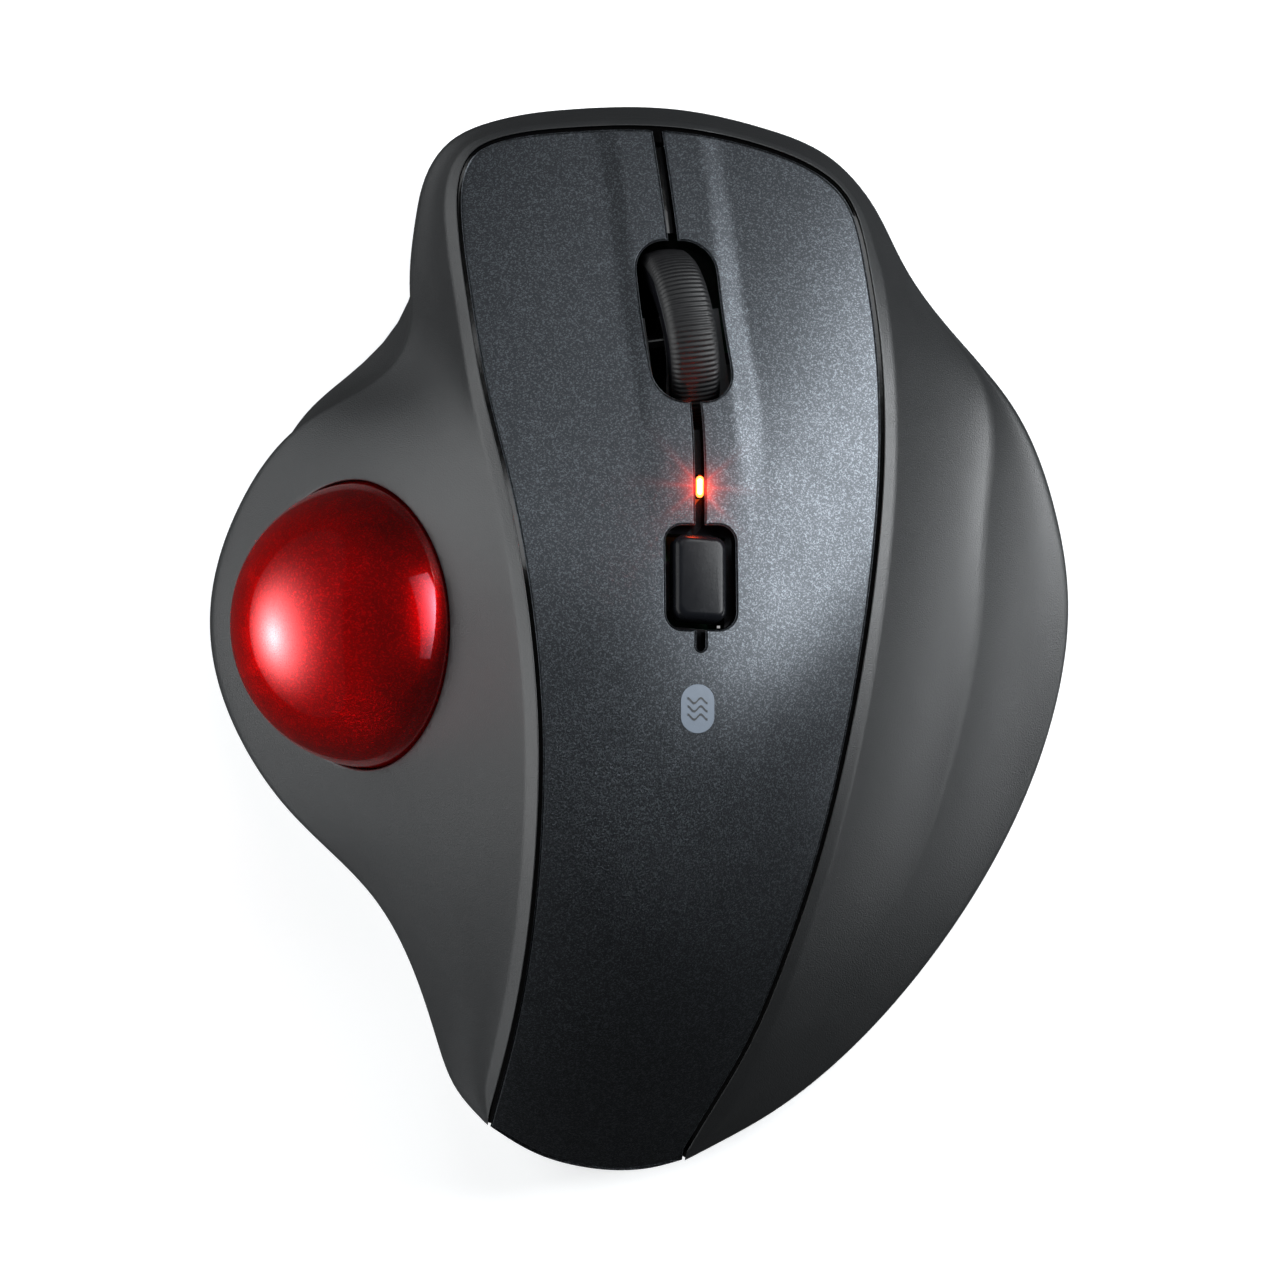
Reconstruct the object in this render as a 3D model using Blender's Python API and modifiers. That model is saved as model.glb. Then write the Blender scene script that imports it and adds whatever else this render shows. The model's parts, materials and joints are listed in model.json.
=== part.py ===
"""A right-handed thumb-operated trackball mouse, built as separate pieces.

Frame: the origin is on the desk under the middle of the mouse, +Y points to the front, away from the
user, +X to the right and +Z up.  The tables are in millimetres, and MM turns them into Blender's metres.
"""

import math

import bmesh
import bpy
import numpy as np
from mathutils import Matrix, Vector
from mathutils.bvhtree import BVHTree
from mathutils.geometry import delaunay_2d_cdt

for old in list(bpy.data.objects):
    bpy.data.objects.remove(old)

MM = 0.001

# ---------------------------------------------------------------- driving dimensions, in millimetres
WALL = 1.6                      # thickness of the upper mouldings
GAP = 0.5                       # gap between the centre panel and the housing
FIT = 0.3                       # clearance between pieces that rest on each other
FOOT_DROP = 0.8                 # how far the feet stand below the base plate
BASE_TOP = 2.4                  # top face of the base plate
SKIRT_Z = 2.7                   # lower edge of the housing and of the palm cover

BALL_RADIUS = 17.0
BALL_CENTRE = (-31.3, 1.9, 23.0)
BALL_TILT = 45.0                # degrees from vertical of the way that the ball looks out
BALL_AZIMUTH = 188.0            # degrees from +X, in plan
BALL_CLEARANCE = 0.2

WHEEL_RADIUS = 11.0
WHEEL_WIDTH = 5.8
WHEEL_PLAN = (5.05, 38.0)
WHEEL_PROUD = 3.8               # how far the tyre stands out of the panel
WHEEL_LEAN = 13.0               # degrees that the wheel leans to the right

MODE_PLAN = (7.1, 7.3)          # the mode button
MODE_SIZE = (6.4, 10.2)
LED_Y = 17.9

FLEX_Y = -3.0                   # the line behind which the two keys bend
SLIT_HALF = 0.55

BOARD_Z = 8.0                   # underside of the main board
BOARD_THICK = 1.2
SWITCH_SIZE = (5.8, 12.8, 6.5)
BATTERY_CENTRE = (4.0, -25.0, 11.0)
BATTERY_RADIUS = 7.1
BATTERY_LENGTH = 49.5

HOUSING_SECTIONS = 66           # sections round the housing
MESH_STEP = 2.0                 # spacing of points along the panel's edges
PANEL_STEP = 3.2                # spacing of points inside it

# Centre panel, one row for each cross-section: y, left x, left z, right x, right z, crown.
PANEL_SECTIONS = (
    (66, -21.4, 15.4, 24.6, 12.6, 2.6),
    (50, -21.5, 24.4, 26.6, 19.6, 2.8),
    (34, -19.4, 33.2, 28.5, 24.8, 3.0),
    (18, -15.7, 41.2, 28.5, 29.0, 3.2),
    (2, -12.6, 46.6, 26.8, 31.8, 3.4),
    (-14, -11.7, 47.4, 23.9, 32.2, 3.6),
    (-30, -12.5, 42.4, 19.7, 29.2, 3.6),
    (-44, -14.7, 32.4, 14.6, 22.8, 3.4),
    (-56, -17.9, 18.8, 8.2, 13.6, 3.0),
    (-64, -20.4, 7.0, 3.0, 6.0, 2.6),
)

# The raised spine between the two keys.
SPINE_RISE, SPINE_HALF, SPINE_FLANK = 0.7, 4.3, 3.4
SPINE_FADE = (12.0, 30.0)

# Middle line of the slit between the keys: y, x.
SLIT_LINE = ((-4.0, 7.0), (1.4, 7.1), (13.5, 7.0), (27.8, 6.5), (37.4, 5.0), (46.7, 3.9), (61.5, 1.8))

# Housing, one row for each section, from the rear left seam round the front to the rear right seam:
# inner x, y on the panel's edge; outer x, y, z on the outline; share of the way to the middle point,
# its rise above the straight line, sag of the inner and outer stretches, crease there, and how far
# the wall's foot stands inside the outline.
SHELL_SECTIONS = (
    (-17.9, -56.2, -18.5, -57.0, 15.5, 0.5, 0.0, 0.0, 0.0, 0.0, 1.2),
    (-16.6, -51.5, -21.9, -53.2, 11.5, 0.5, 0.6, -0.4, -0.5, 0.0, 1.6),
    (-15.2, -46.0, -24.3, -47.2, 9.6, 0.5, 1.2, -0.5, -0.7, 0.0, 1.8),
    (-12.6, -30.0, -32.0, -30.3, 9.0, 0.5, 1.4, -0.3, -0.3, 0.0, 2.4),
    (-11.8, -18.0, -42.2, -19.8, 9.4, 0.5, 0.8, 0.0, 0.3, 0.0, 2.8),
    (-11.9, -7.5, -49.3, -8.0, 8.6, 0.5, -0.4, 0.0, 0.0, 0.0, 3.0),
    (-13.0, 4.0, -51.2, 3.5, 8.8, 0.5, 0.2, 0.0, 0.0, 0.0, 3.0),
    (-15.0, 15.5, -47.8, 15.6, 11.0, 0.5, 2.0, -0.2, 0.0, 0.0, 2.0),
    (-17.2, 24.5, -39.7, 25.9, 13.6, 0.5, 1.2, 0.2, 0.3, 0.0, -1.0),
    (-18.9, 31.8, -30.0, 32.0, 15.6, 0.5, -0.4, 0.4, 0.4, 0.0, -4.2),
    (-19.7, 36.3, -27.5, 36.3, 15.6, 0.5, -0.3, 0.3, 0.3, 0.0, -2.5),
    (-20.6, 42.0, -27.3, 42.0, 15.4, 0.5, 0.0, 0.0, 0.0, 0.0, 0.2),
    (-21.5, 49.5, -26.6, 50.0, 15.0, 0.5, 0.3, -0.2, -0.2, 0.0, 1.2),
    (-21.3, 54.6, -25.0, 55.9, 14.8, 0.5, 0.3, -0.2, -0.2, 0.0, 1.8),
    (-20.0, 57.4, -22.4, 59.2, 14.8, 0.5, 0.2, -0.1, -0.1, 0.0, 2.2),
    (-16.6, 59.3, -17.3, 61.5, 14.8, 0.5, 0.2, -0.1, -0.1, 0.0, 2.4),
    (-8.0, 60.5, -8.2, 62.9, 14.8, 0.5, 0.2, -0.1, -0.1, 0.0, 2.6),
    (4.0, 60.5, 4.3, 62.9, 14.4, 0.5, 0.2, -0.1, -0.1, 0.0, 2.6),
    (14.5, 58.4, 15.3, 60.5, 13.8, 0.5, 0.2, -0.1, -0.1, 0.0, 2.4),
    (21.8, 55.1, 23.1, 56.8, 13.2, 0.52, 0.2, -0.1, -0.1, 0.0, 2.0),
    (25.0, 51.6, 27.4, 52.0, 12.6, 0.58, 0.1, 0.0, 0.0, 0.0, 1.6),
    (26.9, 45.0, 31.2, 44.8, 11.2, 0.72, -0.2, 0.4, 0.1, 0.1, 1.0),
    (28.2, 36.0, 37.6, 36.1, 8.2, 0.93, -0.2, 1.2, 0.2, 0.5, 0.9),
    (28.7, 28.0, 44.3, 28.1, 6.4, 0.82, 0.2, 1.9, 0.6, 1.0, 1.0),
    (28.4, 16.0, 49.6, 15.4, 5.6, 0.60, -0.6, 2.2, 1.4, 1.0, 1.2),
    (27.0, 3.0, 51.2, 3.0, 5.4, 0.545, -1.0, 2.2, 1.8, 1.0, 1.4),
    (24.6, -11.0, 48.6, -11.8, 5.4, 0.54, -0.9, 2.0, 1.6, 1.0, 1.5),
    (21.0, -26.0, 41.9, -27.1, 5.6, 0.56, -0.3, 1.2, 0.8, 0.6, 1.6),
    (17.2, -37.5, 34.3, -38.5, 6.0, 0.55, 0.4, 0.3, 0.1, 0.0, 1.6),
    (13.0, -47.7, 25.0, -48.9, 6.6, 0.52, 0.8, -0.3, -0.3, 0.0, 1.6),
    (8.8, -55.2, 15.2, -56.6, 7.4, 0.5, 0.6, -0.3, -0.3, 0.0, 1.4),
    (5.6, -60.7, 5.9, -61.6, 8.2, 0.5, 0.0, 0.0, 0.0, 0.0, 1.2),
)
LIP_WIDTH, LIP_SHARE = 1.5, 0.3  # the facet beside the panel: its width, and its most of a narrow section

# Rear edge of the palm cover, from the left seam to the right one: x, y.
REAR_EDGE = ((-17.7, -57.5), (-12.2, -60.9), (-7.0, -62.5), (-2.5, -63.0), (1.5, -62.7), (5.0, -61.8))
REAR_INSET = 1.2


# ---------------------------------------------------------------- curves and surfaces
def cubic(knots, values, at):
    """Natural cubic spline through one row of values for each rising knot, read at the places given."""
    knots = np.asarray(knots, float)
    rows = np.asarray(values, float).reshape(len(knots), -1)
    at = np.atleast_1d(np.asarray(at, float))
    step = np.diff(knots)
    slope = np.diff(rows, axis=0) / step[:, None]
    system = np.eye(len(knots))
    wanted = np.zeros_like(rows)
    for i in range(1, len(knots) - 1):
        system[i, i - 1:i + 2] = step[i - 1], 2 * (step[i - 1] + step[i]), step[i]
        wanted[i] = 6 * (slope[i] - slope[i - 1])
    bend = np.linalg.solve(system, wanted)
    i = np.clip(np.searchsorted(knots, at) - 1, 0, len(step) - 1)
    h = step[i][:, None]
    a = (knots[i + 1] - at)[:, None] / h
    b = 1 - a
    return a * rows[i] + b * rows[i + 1] + ((a**3 - a) * bend[i] + (b**3 - b) * bend[i + 1]) * h * h / 6


def smooth_step(t):
    """Rises from 0 to 1 with no slope at either end."""
    t = np.clip(t, 0, 1)
    return t * t * (3 - 2 * t)


def along(points):
    """Distance along a chain of points, from 0."""
    steps = np.linalg.norm(np.diff(points, axis=0), axis=1)
    return np.concatenate([[0], np.cumsum(steps)])


def resampled(points, step):
    """The open chain with evenly spaced points, about a step apart."""
    points = np.asarray(points, float)
    place = along(points)
    count = max(2, int(round(place[-1] / step)) + 1)
    wanted = np.linspace(0, place[-1], count)
    return np.stack([np.interp(wanted, place, points[:, k]) for k in range(points.shape[1])], axis=1)


def subdivided(points, most):
    """The open chain with points added wherever two stand further apart than the most."""
    chain = [points[0]]
    for a, b in zip(points[:-1], points[1:]):
        count = max(1, math.ceil(np.linalg.norm(np.subtract(b, a)) / most - 1e-6))
        chain += [a + (np.subtract(b, a)) * k / count for k in range(1, count + 1)]
    return np.array(chain)


def moved_sideways(points, distance):
    """The open plan chain moved to its left by a distance."""
    ways = np.gradient(points, axis=0)
    ways /= np.linalg.norm(ways, axis=1)[:, None]
    return points + distance * np.stack([-ways[:, 1], ways[:, 0]], axis=1)


def slit_x(y):
    table = np.array(SLIT_LINE)
    return cubic(table[:, 0], table[:, 1], y)[:, 0]


def panel_height(x, y):
    """Height of the centre panel's top face."""
    x, y = np.atleast_1d(x).astype(float), np.atleast_1d(y).astype(float)
    table = np.array(PANEL_SECTIONS[::-1], float)
    left_x, left_z, right_x, right_z, crown = cubic(table[:, 0], table[:, 1:], y).T
    share = (x - left_x) / (right_x - left_x)
    off = np.abs(x - slit_x(y))
    flank = smooth_step((SPINE_HALF + SPINE_FLANK - off) / SPINE_FLANK)
    fade = smooth_step((y - SPINE_FADE[0]) / (SPINE_FADE[1] - SPINE_FADE[0]))
    return left_z + (right_z - left_z) * share + 4 * crown * share * (1 - share) + SPINE_RISE * flank * fade


def panel_normal(x, y):
    d = 0.5
    slope_x = (panel_height(x + d, y) - panel_height(x - d, y))[0] / (2 * d)
    slope_y = (panel_height(x, y + d) - panel_height(x, y - d))[0] / (2 * d)
    return Vector((-slope_x, -slope_y, 1)).normalized()


def shell_stations(count):
    """The housing's section table read at evenly spaced places."""
    table = np.array(SHELL_SECTIONS, float)
    knots = (along(table[:, 0:2]) + along(table[:, 2:4])) / 2
    return cubic(knots, table, np.linspace(0, knots[-1], count))


def shell_profiles(rows, inner_steps, outer_steps, wall_steps):
    """Points of each housing section, from the panel's edge over the outline to the wall's foot."""
    inner, outer, edge_z = rows[:, 0:2], rows[:, 2:4], rows[:, 4]
    share, rise, sag_in, sag_out, crease, inset = rows[:, 5:].T
    reach = np.linalg.norm(outer - inner, axis=1)
    way = (outer - inner) / reach[:, None]
    inner_z = panel_height(inner[:, 0], inner[:, 1]) + 0.3
    lip = np.minimum(LIP_WIDTH, LIP_SHARE * reach)
    lip_z = inner_z - 0.5 * lip * (inner_z - edge_z) / reach
    middle = share * reach
    middle_z = inner_z + (edge_z - inner_z) * share + rise

    def stretch(x0, z0, x1, z1, start, end, steps):
        """Cubic from one point to the next with the given end slopes, as (reach, height) pairs."""
        t = np.linspace(0, 1, steps + 1)[None, 1:]
        x0, z0, x1, z1, start, end = (v[:, None] for v in (x0, z0, x1, z1, start, end))
        rise_0 = start * (x1 - x0)
        rise_1 = end * (x1 - x0)
        height = (z0 * (2 * t**3 - 3 * t**2 + 1) + z1 * (3 * t**2 - 2 * t**3)
                  + rise_0 * (t**3 - 2 * t**2 + t) + rise_1 * (t**3 - t**2))
        return x0 + (x1 - x0) * t, height

    first, second = middle - lip, reach - middle
    slope_in = (middle_z - lip_z) / first
    slope_out = (edge_z - middle_z) / second
    own_in = slope_in + 4 * sag_in / first
    own_out = slope_out - 4 * sag_out / second
    shared = (own_in + own_out) / 2
    a = stretch(lip, lip_z, middle, middle_z, slope_in - 4 * sag_in / first,
                crease * own_in + (1 - crease) * shared, inner_steps)
    b = stretch(middle, middle_z, reach, edge_z, crease * own_out + (1 - crease) * shared,
                slope_out + 4 * sag_out / second, outer_steps)
    t = np.linspace(0, 1, wall_steps + 1)[None, 1:]
    wall_x = reach[:, None] - inset[:, None] * t + inset[:, None] * t * (1 - t)
    wall_z = edge_z[:, None] + (SKIRT_Z - edge_z)[:, None] * t
    across = np.hstack([np.zeros((len(rows), 1)), lip[:, None], a[0], b[0], wall_x])
    height = np.hstack([inner_z[:, None], lip_z[:, None], a[1], b[1], wall_z])
    plan = inner[:, None, :] + way[:, None, :] * across[:, :, None]
    return np.dstack([plan, height])


def panel_rim():
    """Plan outline of the panel's edge from the rear left seam round the front to the rear right."""
    line = shell_stations(400)[:, 0:2]
    return moved_sideways(line, -GAP)


def foot_outline(count=120):
    """Plan outline of the walls' foot all round, counter-clockwise."""
    rows = shell_stations(count)
    foot = shell_profiles(rows, 2, 2, 1)[:, -1, :2]
    rear = resampled(rear_foot()[:, :2], 3.0)
    return np.vstack([foot, rear[::-1]])[::-1]


def rear_line():
    place = along(np.array(REAR_EDGE))
    return cubic(place, REAR_EDGE, np.linspace(0, place[-1], 60))


def rear_foot():
    """Foot of the palm cover's rear wall: the rear edge moved in."""
    return moved_sideways(rear_line(), REAR_INSET)


def opening_side(y0, half_length, half_width, radius):
    """One side of a rounded opening on the slit, as (distance from the slit line, y), front to rear."""
    turn = np.radians(np.linspace(0, 90, 6))
    across = half_width - radius + radius * np.sin(turn)
    front = np.stack([across, y0 + half_length - radius + radius * np.cos(turn)], axis=1)
    rear = np.stack([across, y0 - half_length + radius - radius * np.cos(turn)], axis=1)[::-1]
    return np.vstack([[(SLIT_HALF, y0 + half_length)], front, rear, [(SLIT_HALF, y0 - half_length)]])


WHEEL_SLOT = dict(y0=37.4, half_length=9.5, half_width=4.7, radius=3.7)
MODE_SLOT = dict(y0=7.3, half_length=6.1, half_width=4.1, radius=2.0)


def key_inner_side(side, y_front, y_rear):
    """Inner edge of a key along the slit and its openings, front to rear; side is -1 left, 1 right."""
    chain = np.vstack([[(SLIT_HALF, y_front)], opening_side(**WHEEL_SLOT),
                       opening_side(**MODE_SLOT), [(SLIT_HALF, y_rear)]])
    chain = subdivided(chain, MESH_STEP)
    return np.stack([slit_x(chain[:, 1]) + side * chain[:, 0], chain[:, 1]], axis=1)


# ---------------------------------------------------------------- meshes and objects
def collection(name):
    made = bpy.data.collections.new(name)
    bpy.context.scene.collection.children.link(made)
    return made


def material(name, colour, roughness=0.5, metallic=0.0, coat=0.0):
    made = bpy.data.materials.new(name)
    made.use_nodes = True
    shader = made.node_tree.nodes["Principled BSDF"]
    shader.inputs["Base Color"].default_value = (*colour, 1)
    shader.inputs["Roughness"].default_value = roughness
    shader.inputs["Metallic"].default_value = metallic
    shader.inputs["Coat Weight"].default_value = coat
    made.diffuse_color = (*colour, 1)
    return made


def new_object(name, mesh, finish, cutter=False):
    obj = bpy.data.objects.new(name, mesh)
    (CUTTERS if cutter else PARTS).objects.link(obj)
    if cutter:
        obj.hide_render = True
        obj.display_type = "WIRE"
    else:
        mesh.materials.append(finish)
    return obj


def mesh_from(points, faces):
    """A mesh from points in millimetres."""
    mesh = bpy.data.meshes.new("mesh")
    mesh.from_pydata([tuple(float(c) * MM for c in p) for p in points], [], faces)
    mesh.update()
    return mesh


def facing_out(mesh):
    bm = bmesh.new()
    bm.from_mesh(mesh)
    bmesh.ops.recalc_face_normals(bm, faces=bm.faces)
    bm.to_mesh(mesh)
    bm.free()
    return mesh


def grid_faces(columns, rows):
    """Quads of a grid whose points are listed column by column."""
    return [(c * rows + r, c * rows + r + 1, (c + 1) * rows + r + 1, (c + 1) * rows + r)
            for c in range(columns - 1) for r in range(rows - 1)]


def soften(obj, angle=35):
    obj.data.shade_smooth()
    obj.data.set_sharp_from_angle(angle=math.radians(angle))


def frame_matrix(origin, x_axis, z_axis):
    """Place of a tilted group: its origin in millimetres and two of its axes."""
    z = Vector(z_axis).normalized()
    x = (Vector(x_axis) - z * Vector(x_axis).dot(z)).normalized()
    turn = Matrix((x, z.cross(x), z)).transposed().to_4x4()
    return Matrix.Translation(Vector(origin) * MM) @ turn


UPRIGHT = Matrix.Identity(4)


def placed(obj, centre, place=UPRIGHT, turn=None):
    """Puts an object at a centre, in millimetres, of a group's own frame."""
    local = Matrix.Translation(Vector(centre) * MM)
    obj.matrix_world = place @ local @ (turn.to_4x4() if turn else UPRIGHT)
    return obj


def box(name, centre, size, finish=None, place=UPRIGHT, cutter=False):
    bm = bmesh.new()
    bmesh.ops.create_cube(bm, size=1)
    bmesh.ops.scale(bm, vec=Vector(size) * MM, verts=bm.verts)
    mesh = bpy.data.meshes.new(name)
    bm.to_mesh(mesh)
    bm.free()
    return placed(new_object(name, mesh, finish, cutter), centre, place)


def cylinder(name, centre, radius, length, finish=None, place=UPRIGHT, axis="Z", sides=24, tip=None,
             cutter=False):
    """A cylinder, or a cone when tip, the radius at its far end, is given."""
    bm = bmesh.new()
    bmesh.ops.create_cone(bm, cap_ends=True, segments=sides, radius1=radius * MM,
                          radius2=(radius if tip is None else tip) * MM, depth=length * MM)
    mesh = bpy.data.meshes.new(name)
    bm.to_mesh(mesh)
    bm.free()
    turn = {"X": Matrix.Rotation(math.pi / 2, 3, "Y"), "Y": Matrix.Rotation(-math.pi / 2, 3, "X"),
            "Z": None}[axis]
    obj = placed(new_object(name, mesh, finish, cutter), centre, place, turn)
    if not cutter:
        soften(obj)
    return obj


def sphere(name, centre, radius, finish=None, segments=32, rings=16, cutter=False):
    bm = bmesh.new()
    bmesh.ops.create_uvsphere(bm, u_segments=segments, v_segments=rings, radius=radius * MM)
    mesh = bpy.data.meshes.new(name)
    bm.to_mesh(mesh)
    bm.free()
    mesh.shade_smooth()
    return placed(new_object(name, mesh, finish, cutter), centre)


def turned(name, profile, finish, centre=(0, 0, 0), place=UPRIGHT, steps=32, turn=None, cutter=False):
    """A turned shape: its profile is (radius, height) pairs, from the top down the outer side."""
    mesh = bpy.data.meshes.new(name)
    bm = bmesh.new()
    rims = [bm.verts.new((r * MM, 0, z * MM)) for r, z in profile]
    for i in range(len(profile) - 1):
        bm.edges.new((rims[i], rims[i + 1]))
    if profile[0][0] > 0 or profile[-1][0] > 0:
        bm.edges.new((rims[-1], rims[0]))
    bm.to_mesh(mesh)
    bm.free()
    obj = new_object(name, mesh, finish, cutter)
    screw = obj.modifiers.new("Turn", "SCREW")
    screw.steps = screw.render_steps = steps
    screw.use_merge_vertices = True
    screw.merge_threshold = 0.00001
    screw.use_smooth_shade = True
    return placed(obj, centre, place, turn)


def flat_plate(name, loops, z_low, z_high, finish=None, place=UPRIGHT, cutter=False):
    """A flat moulding or board: the first loop is its outline and the rest are its holes."""
    curve = bpy.data.curves.new(name, "CURVE")
    curve.dimensions = "2D"
    curve.fill_mode = "BOTH"
    curve.extrude = (z_high - z_low) / 2 * MM
    for loop in loops:
        spline = curve.splines.new("POLY")
        spline.points.add(len(loop) - 1)
        for point, (x, y) in zip(spline.points, loop):
            point.co = (x * MM, y * MM, 0, 1)
        spline.use_cyclic_u = True
    drawn = bpy.data.objects.new(name + "_curve", curve)
    PARTS.objects.link(drawn)
    bpy.context.view_layer.update()
    mesh = bpy.data.meshes.new_from_object(drawn.evaluated_get(bpy.context.evaluated_depsgraph_get()))
    bpy.data.objects.remove(drawn)
    bm = bmesh.new()
    bm.from_mesh(mesh)
    bmesh.ops.remove_doubles(bm, verts=bm.verts, dist=1e-6)
    bmesh.ops.recalc_face_normals(bm, faces=bm.faces)
    bm.to_mesh(mesh)
    bm.free()
    mesh.materials.clear()
    return placed(new_object(name, mesh, finish, cutter), (0, 0, (z_low + z_high) / 2), place)


def wire(name, points, radius, finish, sides=2, place=UPRIGHT):
    """A round wire through the points, with closed ends."""
    curve = bpy.data.curves.new(name, "CURVE")
    curve.dimensions = "3D"
    curve.bevel_depth = radius * MM
    curve.bevel_resolution = sides
    curve.use_fill_caps = True
    spline = curve.splines.new("POLY")
    spline.points.add(len(points) - 1)
    for point, place_mm in zip(spline.points, points):
        point.co = (*(Vector(place_mm) * MM), 1)
    obj = bpy.data.objects.new(name, curve)
    curve.materials.append(finish)
    PARTS.objects.link(obj)
    obj.matrix_world = place
    return obj


def rounded_rectangle(centre, size, radius, corner_steps=4):
    """Counter-clockwise loop."""
    points = []
    for k, (sx, sy) in enumerate(((1, 1), (-1, 1), (-1, -1), (1, -1))):
        for turn in np.radians(np.linspace(90 * k, 90 * k + 90, corner_steps + 1)):
            points.append((centre[0] + sx * (size[0] / 2 - radius) + radius * math.cos(turn),
                           centre[1] + sy * (size[1] / 2 - radius) + radius * math.sin(turn)))
    return points


def circle(centre, radius, sides=20):
    return [(centre[0] + radius * math.cos(2 * math.pi * k / sides),
             centre[1] + radius * math.sin(2 * math.pi * k / sides)) for k in range(sides)]


def boolean(obj, others, operation):
    """Cuts or joins other objects, with the EXACT solver. What is joined stays as a hidden helper."""
    for other in others:
        change = obj.modifiers.new(other.name, "BOOLEAN")
        change.operation = operation
        change.object = other
        change.solver = "EXACT"
    return obj


def cut(obj, *cutters):
    return boolean(obj, cutters, "DIFFERENCE")


def join(obj, *helpers):
    return boolean(obj, helpers, "UNION")


# ---------------------------------------------------------------- the outer mouldings
def wall_ring(profile):
    """Closes one housing section: its inner points follow the outer ones back, one wall inside.

    The section is (reach, height) pairs, and its wall is vertical beside the panel, so that the two
    mouldings keep their gap all the way down.
    """
    ahead = np.diff(profile, axis=0)
    ahead /= np.linalg.norm(ahead, axis=1)[:, None]
    into = np.stack([ahead[:, 1], -ahead[:, 0]], axis=1)
    before = np.vstack([into[:1], into])
    after = np.vstack([into, into[-1:]])
    mitre = (before + after) / np.maximum(1 + (before * after).sum(1), 0.6)[:, None]
    reach = profile[:, 0]
    near = np.clip(1 - reach / (3 * WALL), 0, 1)[:, None]
    near[np.argmax(reach):] = 0
    shift = near * np.array([0, -1.0]) + (1 - near) * mitre
    inner = profile + WALL * shift
    top = profile[0, 1] - 2 * WALL
    inner[:, 0] = np.where(inner[:, 1] > top, np.maximum(inner[:, 0], 0), inner[:, 0])
    inner[-1] = profile[-1] - (WALL, 0)
    return np.vstack([profile, inner[::-1]])


def shell_above(x, y):
    """Height of the housing's outer face over a plan point."""
    grid = shell_profiles(shell_stations(120), 6, 6, 1)[:, :-1]
    tree = BVHTree.FromPolygons([Vector(p) for p in grid.reshape(-1, 3)],
                                grid_faces(grid.shape[0], grid.shape[1]))
    hit = tree.ray_cast(Vector((x, y, 100)), Vector((0, 0, -1)))[0]
    return hit.z


def side_housing():
    """The upper housing: a loft of closed sections from one rear seam round the front to the other."""
    rows = shell_stations(HOUSING_SECTIONS)
    grid = shell_profiles(rows, 4, 3, 2)
    rings = []
    for row, points in zip(rows, grid):
        way = (row[2:4] - row[0:2]) / np.linalg.norm(row[2:4] - row[0:2])
        reach = (points[:, :2] - row[0:2]) @ way
        ring = wall_ring(np.stack([reach, points[:, 2]], axis=1))
        rings.append(np.column_stack([row[0:2] + ring[:, :1] * way, ring[:, 1]]))
    size = len(rings[0])
    faces = [(s * size + k, (s + 1) * size + k, (s + 1) * size + (k + 1) % size, s * size + (k + 1) % size)
             for s in range(len(rings) - 1) for k in range(size)]
    half = size // 2
    for s, turn in ((0, 1), (len(rings) - 1, -1)):
        for k in range(half - 1):
            quad = (s * size + k, s * size + k + 1, s * size + size - 2 - k, s * size + size - 1 - k)
            faces.append(quad[::turn])
    obj = new_object("side_housing", facing_out(mesh_from(np.vstack(rings), faces)), SOFT_GREY)
    soften(obj)
    return obj


def inside(points, loop):
    """Which plan points lie inside the loop."""
    x, y = points[:, 0:1], points[:, 1:2]
    x0, y0 = loop[None, :, 0], loop[None, :, 1]
    x1, y1 = np.roll(x0, -1, 1), np.roll(y0, -1, 1)
    crosses = (y0 > y) != (y1 > y)
    level = np.where(y1 == y0, 1.0, y1 - y0)
    reach = x0 + (y - y0) * (x1 - x0) / level
    return (crosses & (x < reach)).sum(1) % 2 == 1


def apart(points, others, least):
    """Those of the points that stand at least this far from the others and from each other."""
    points = points[np.linalg.norm(points[:, None] - others[None], axis=2).min(1) > least]
    kept = []
    for point in points:
        if all(np.hypot(*(point - other)) > least * 0.8 for other in kept[-60:] + kept[:5]):
            kept.append(point)
    return np.array(kept).reshape(-1, 2)


def filled(loop, step):
    """Plan points and triangles that fill a counter-clockwise loop. The loop's points come first."""
    ways = np.roll(loop, -1, 0) - np.roll(loop, 1, 0)
    ways /= np.linalg.norm(ways, axis=1)[:, None]
    ring = loop + 0.6 * step * np.stack([-ways[:, 1], ways[:, 0]], axis=1)
    ring = apart(ring[inside(ring, loop)], loop, 0.5 * step)
    low, high = loop.min(0), loop.max(0)
    grid = np.stack(np.meshgrid(np.arange(low[0] + step / 3, high[0], step),
                                np.arange(low[1] + step / 3, high[1], step * 0.87)), axis=-1)
    grid[1::2, :, 0] += step / 2
    grid = grid.reshape(-1, 2)
    grid = apart(grid[inside(grid, loop)], np.vstack([loop, ring]), 0.65 * step)
    points = np.vstack([loop, ring, grid])
    made = delaunay_2d_cdt([Vector(p) for p in points], [], [list(range(len(loop)))], 1, 1e-5)
    back = {new: old[0] for new, old in enumerate(made[3]) if old}
    return points, [tuple(back[v] for v in face) for face in made[2]]


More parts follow.
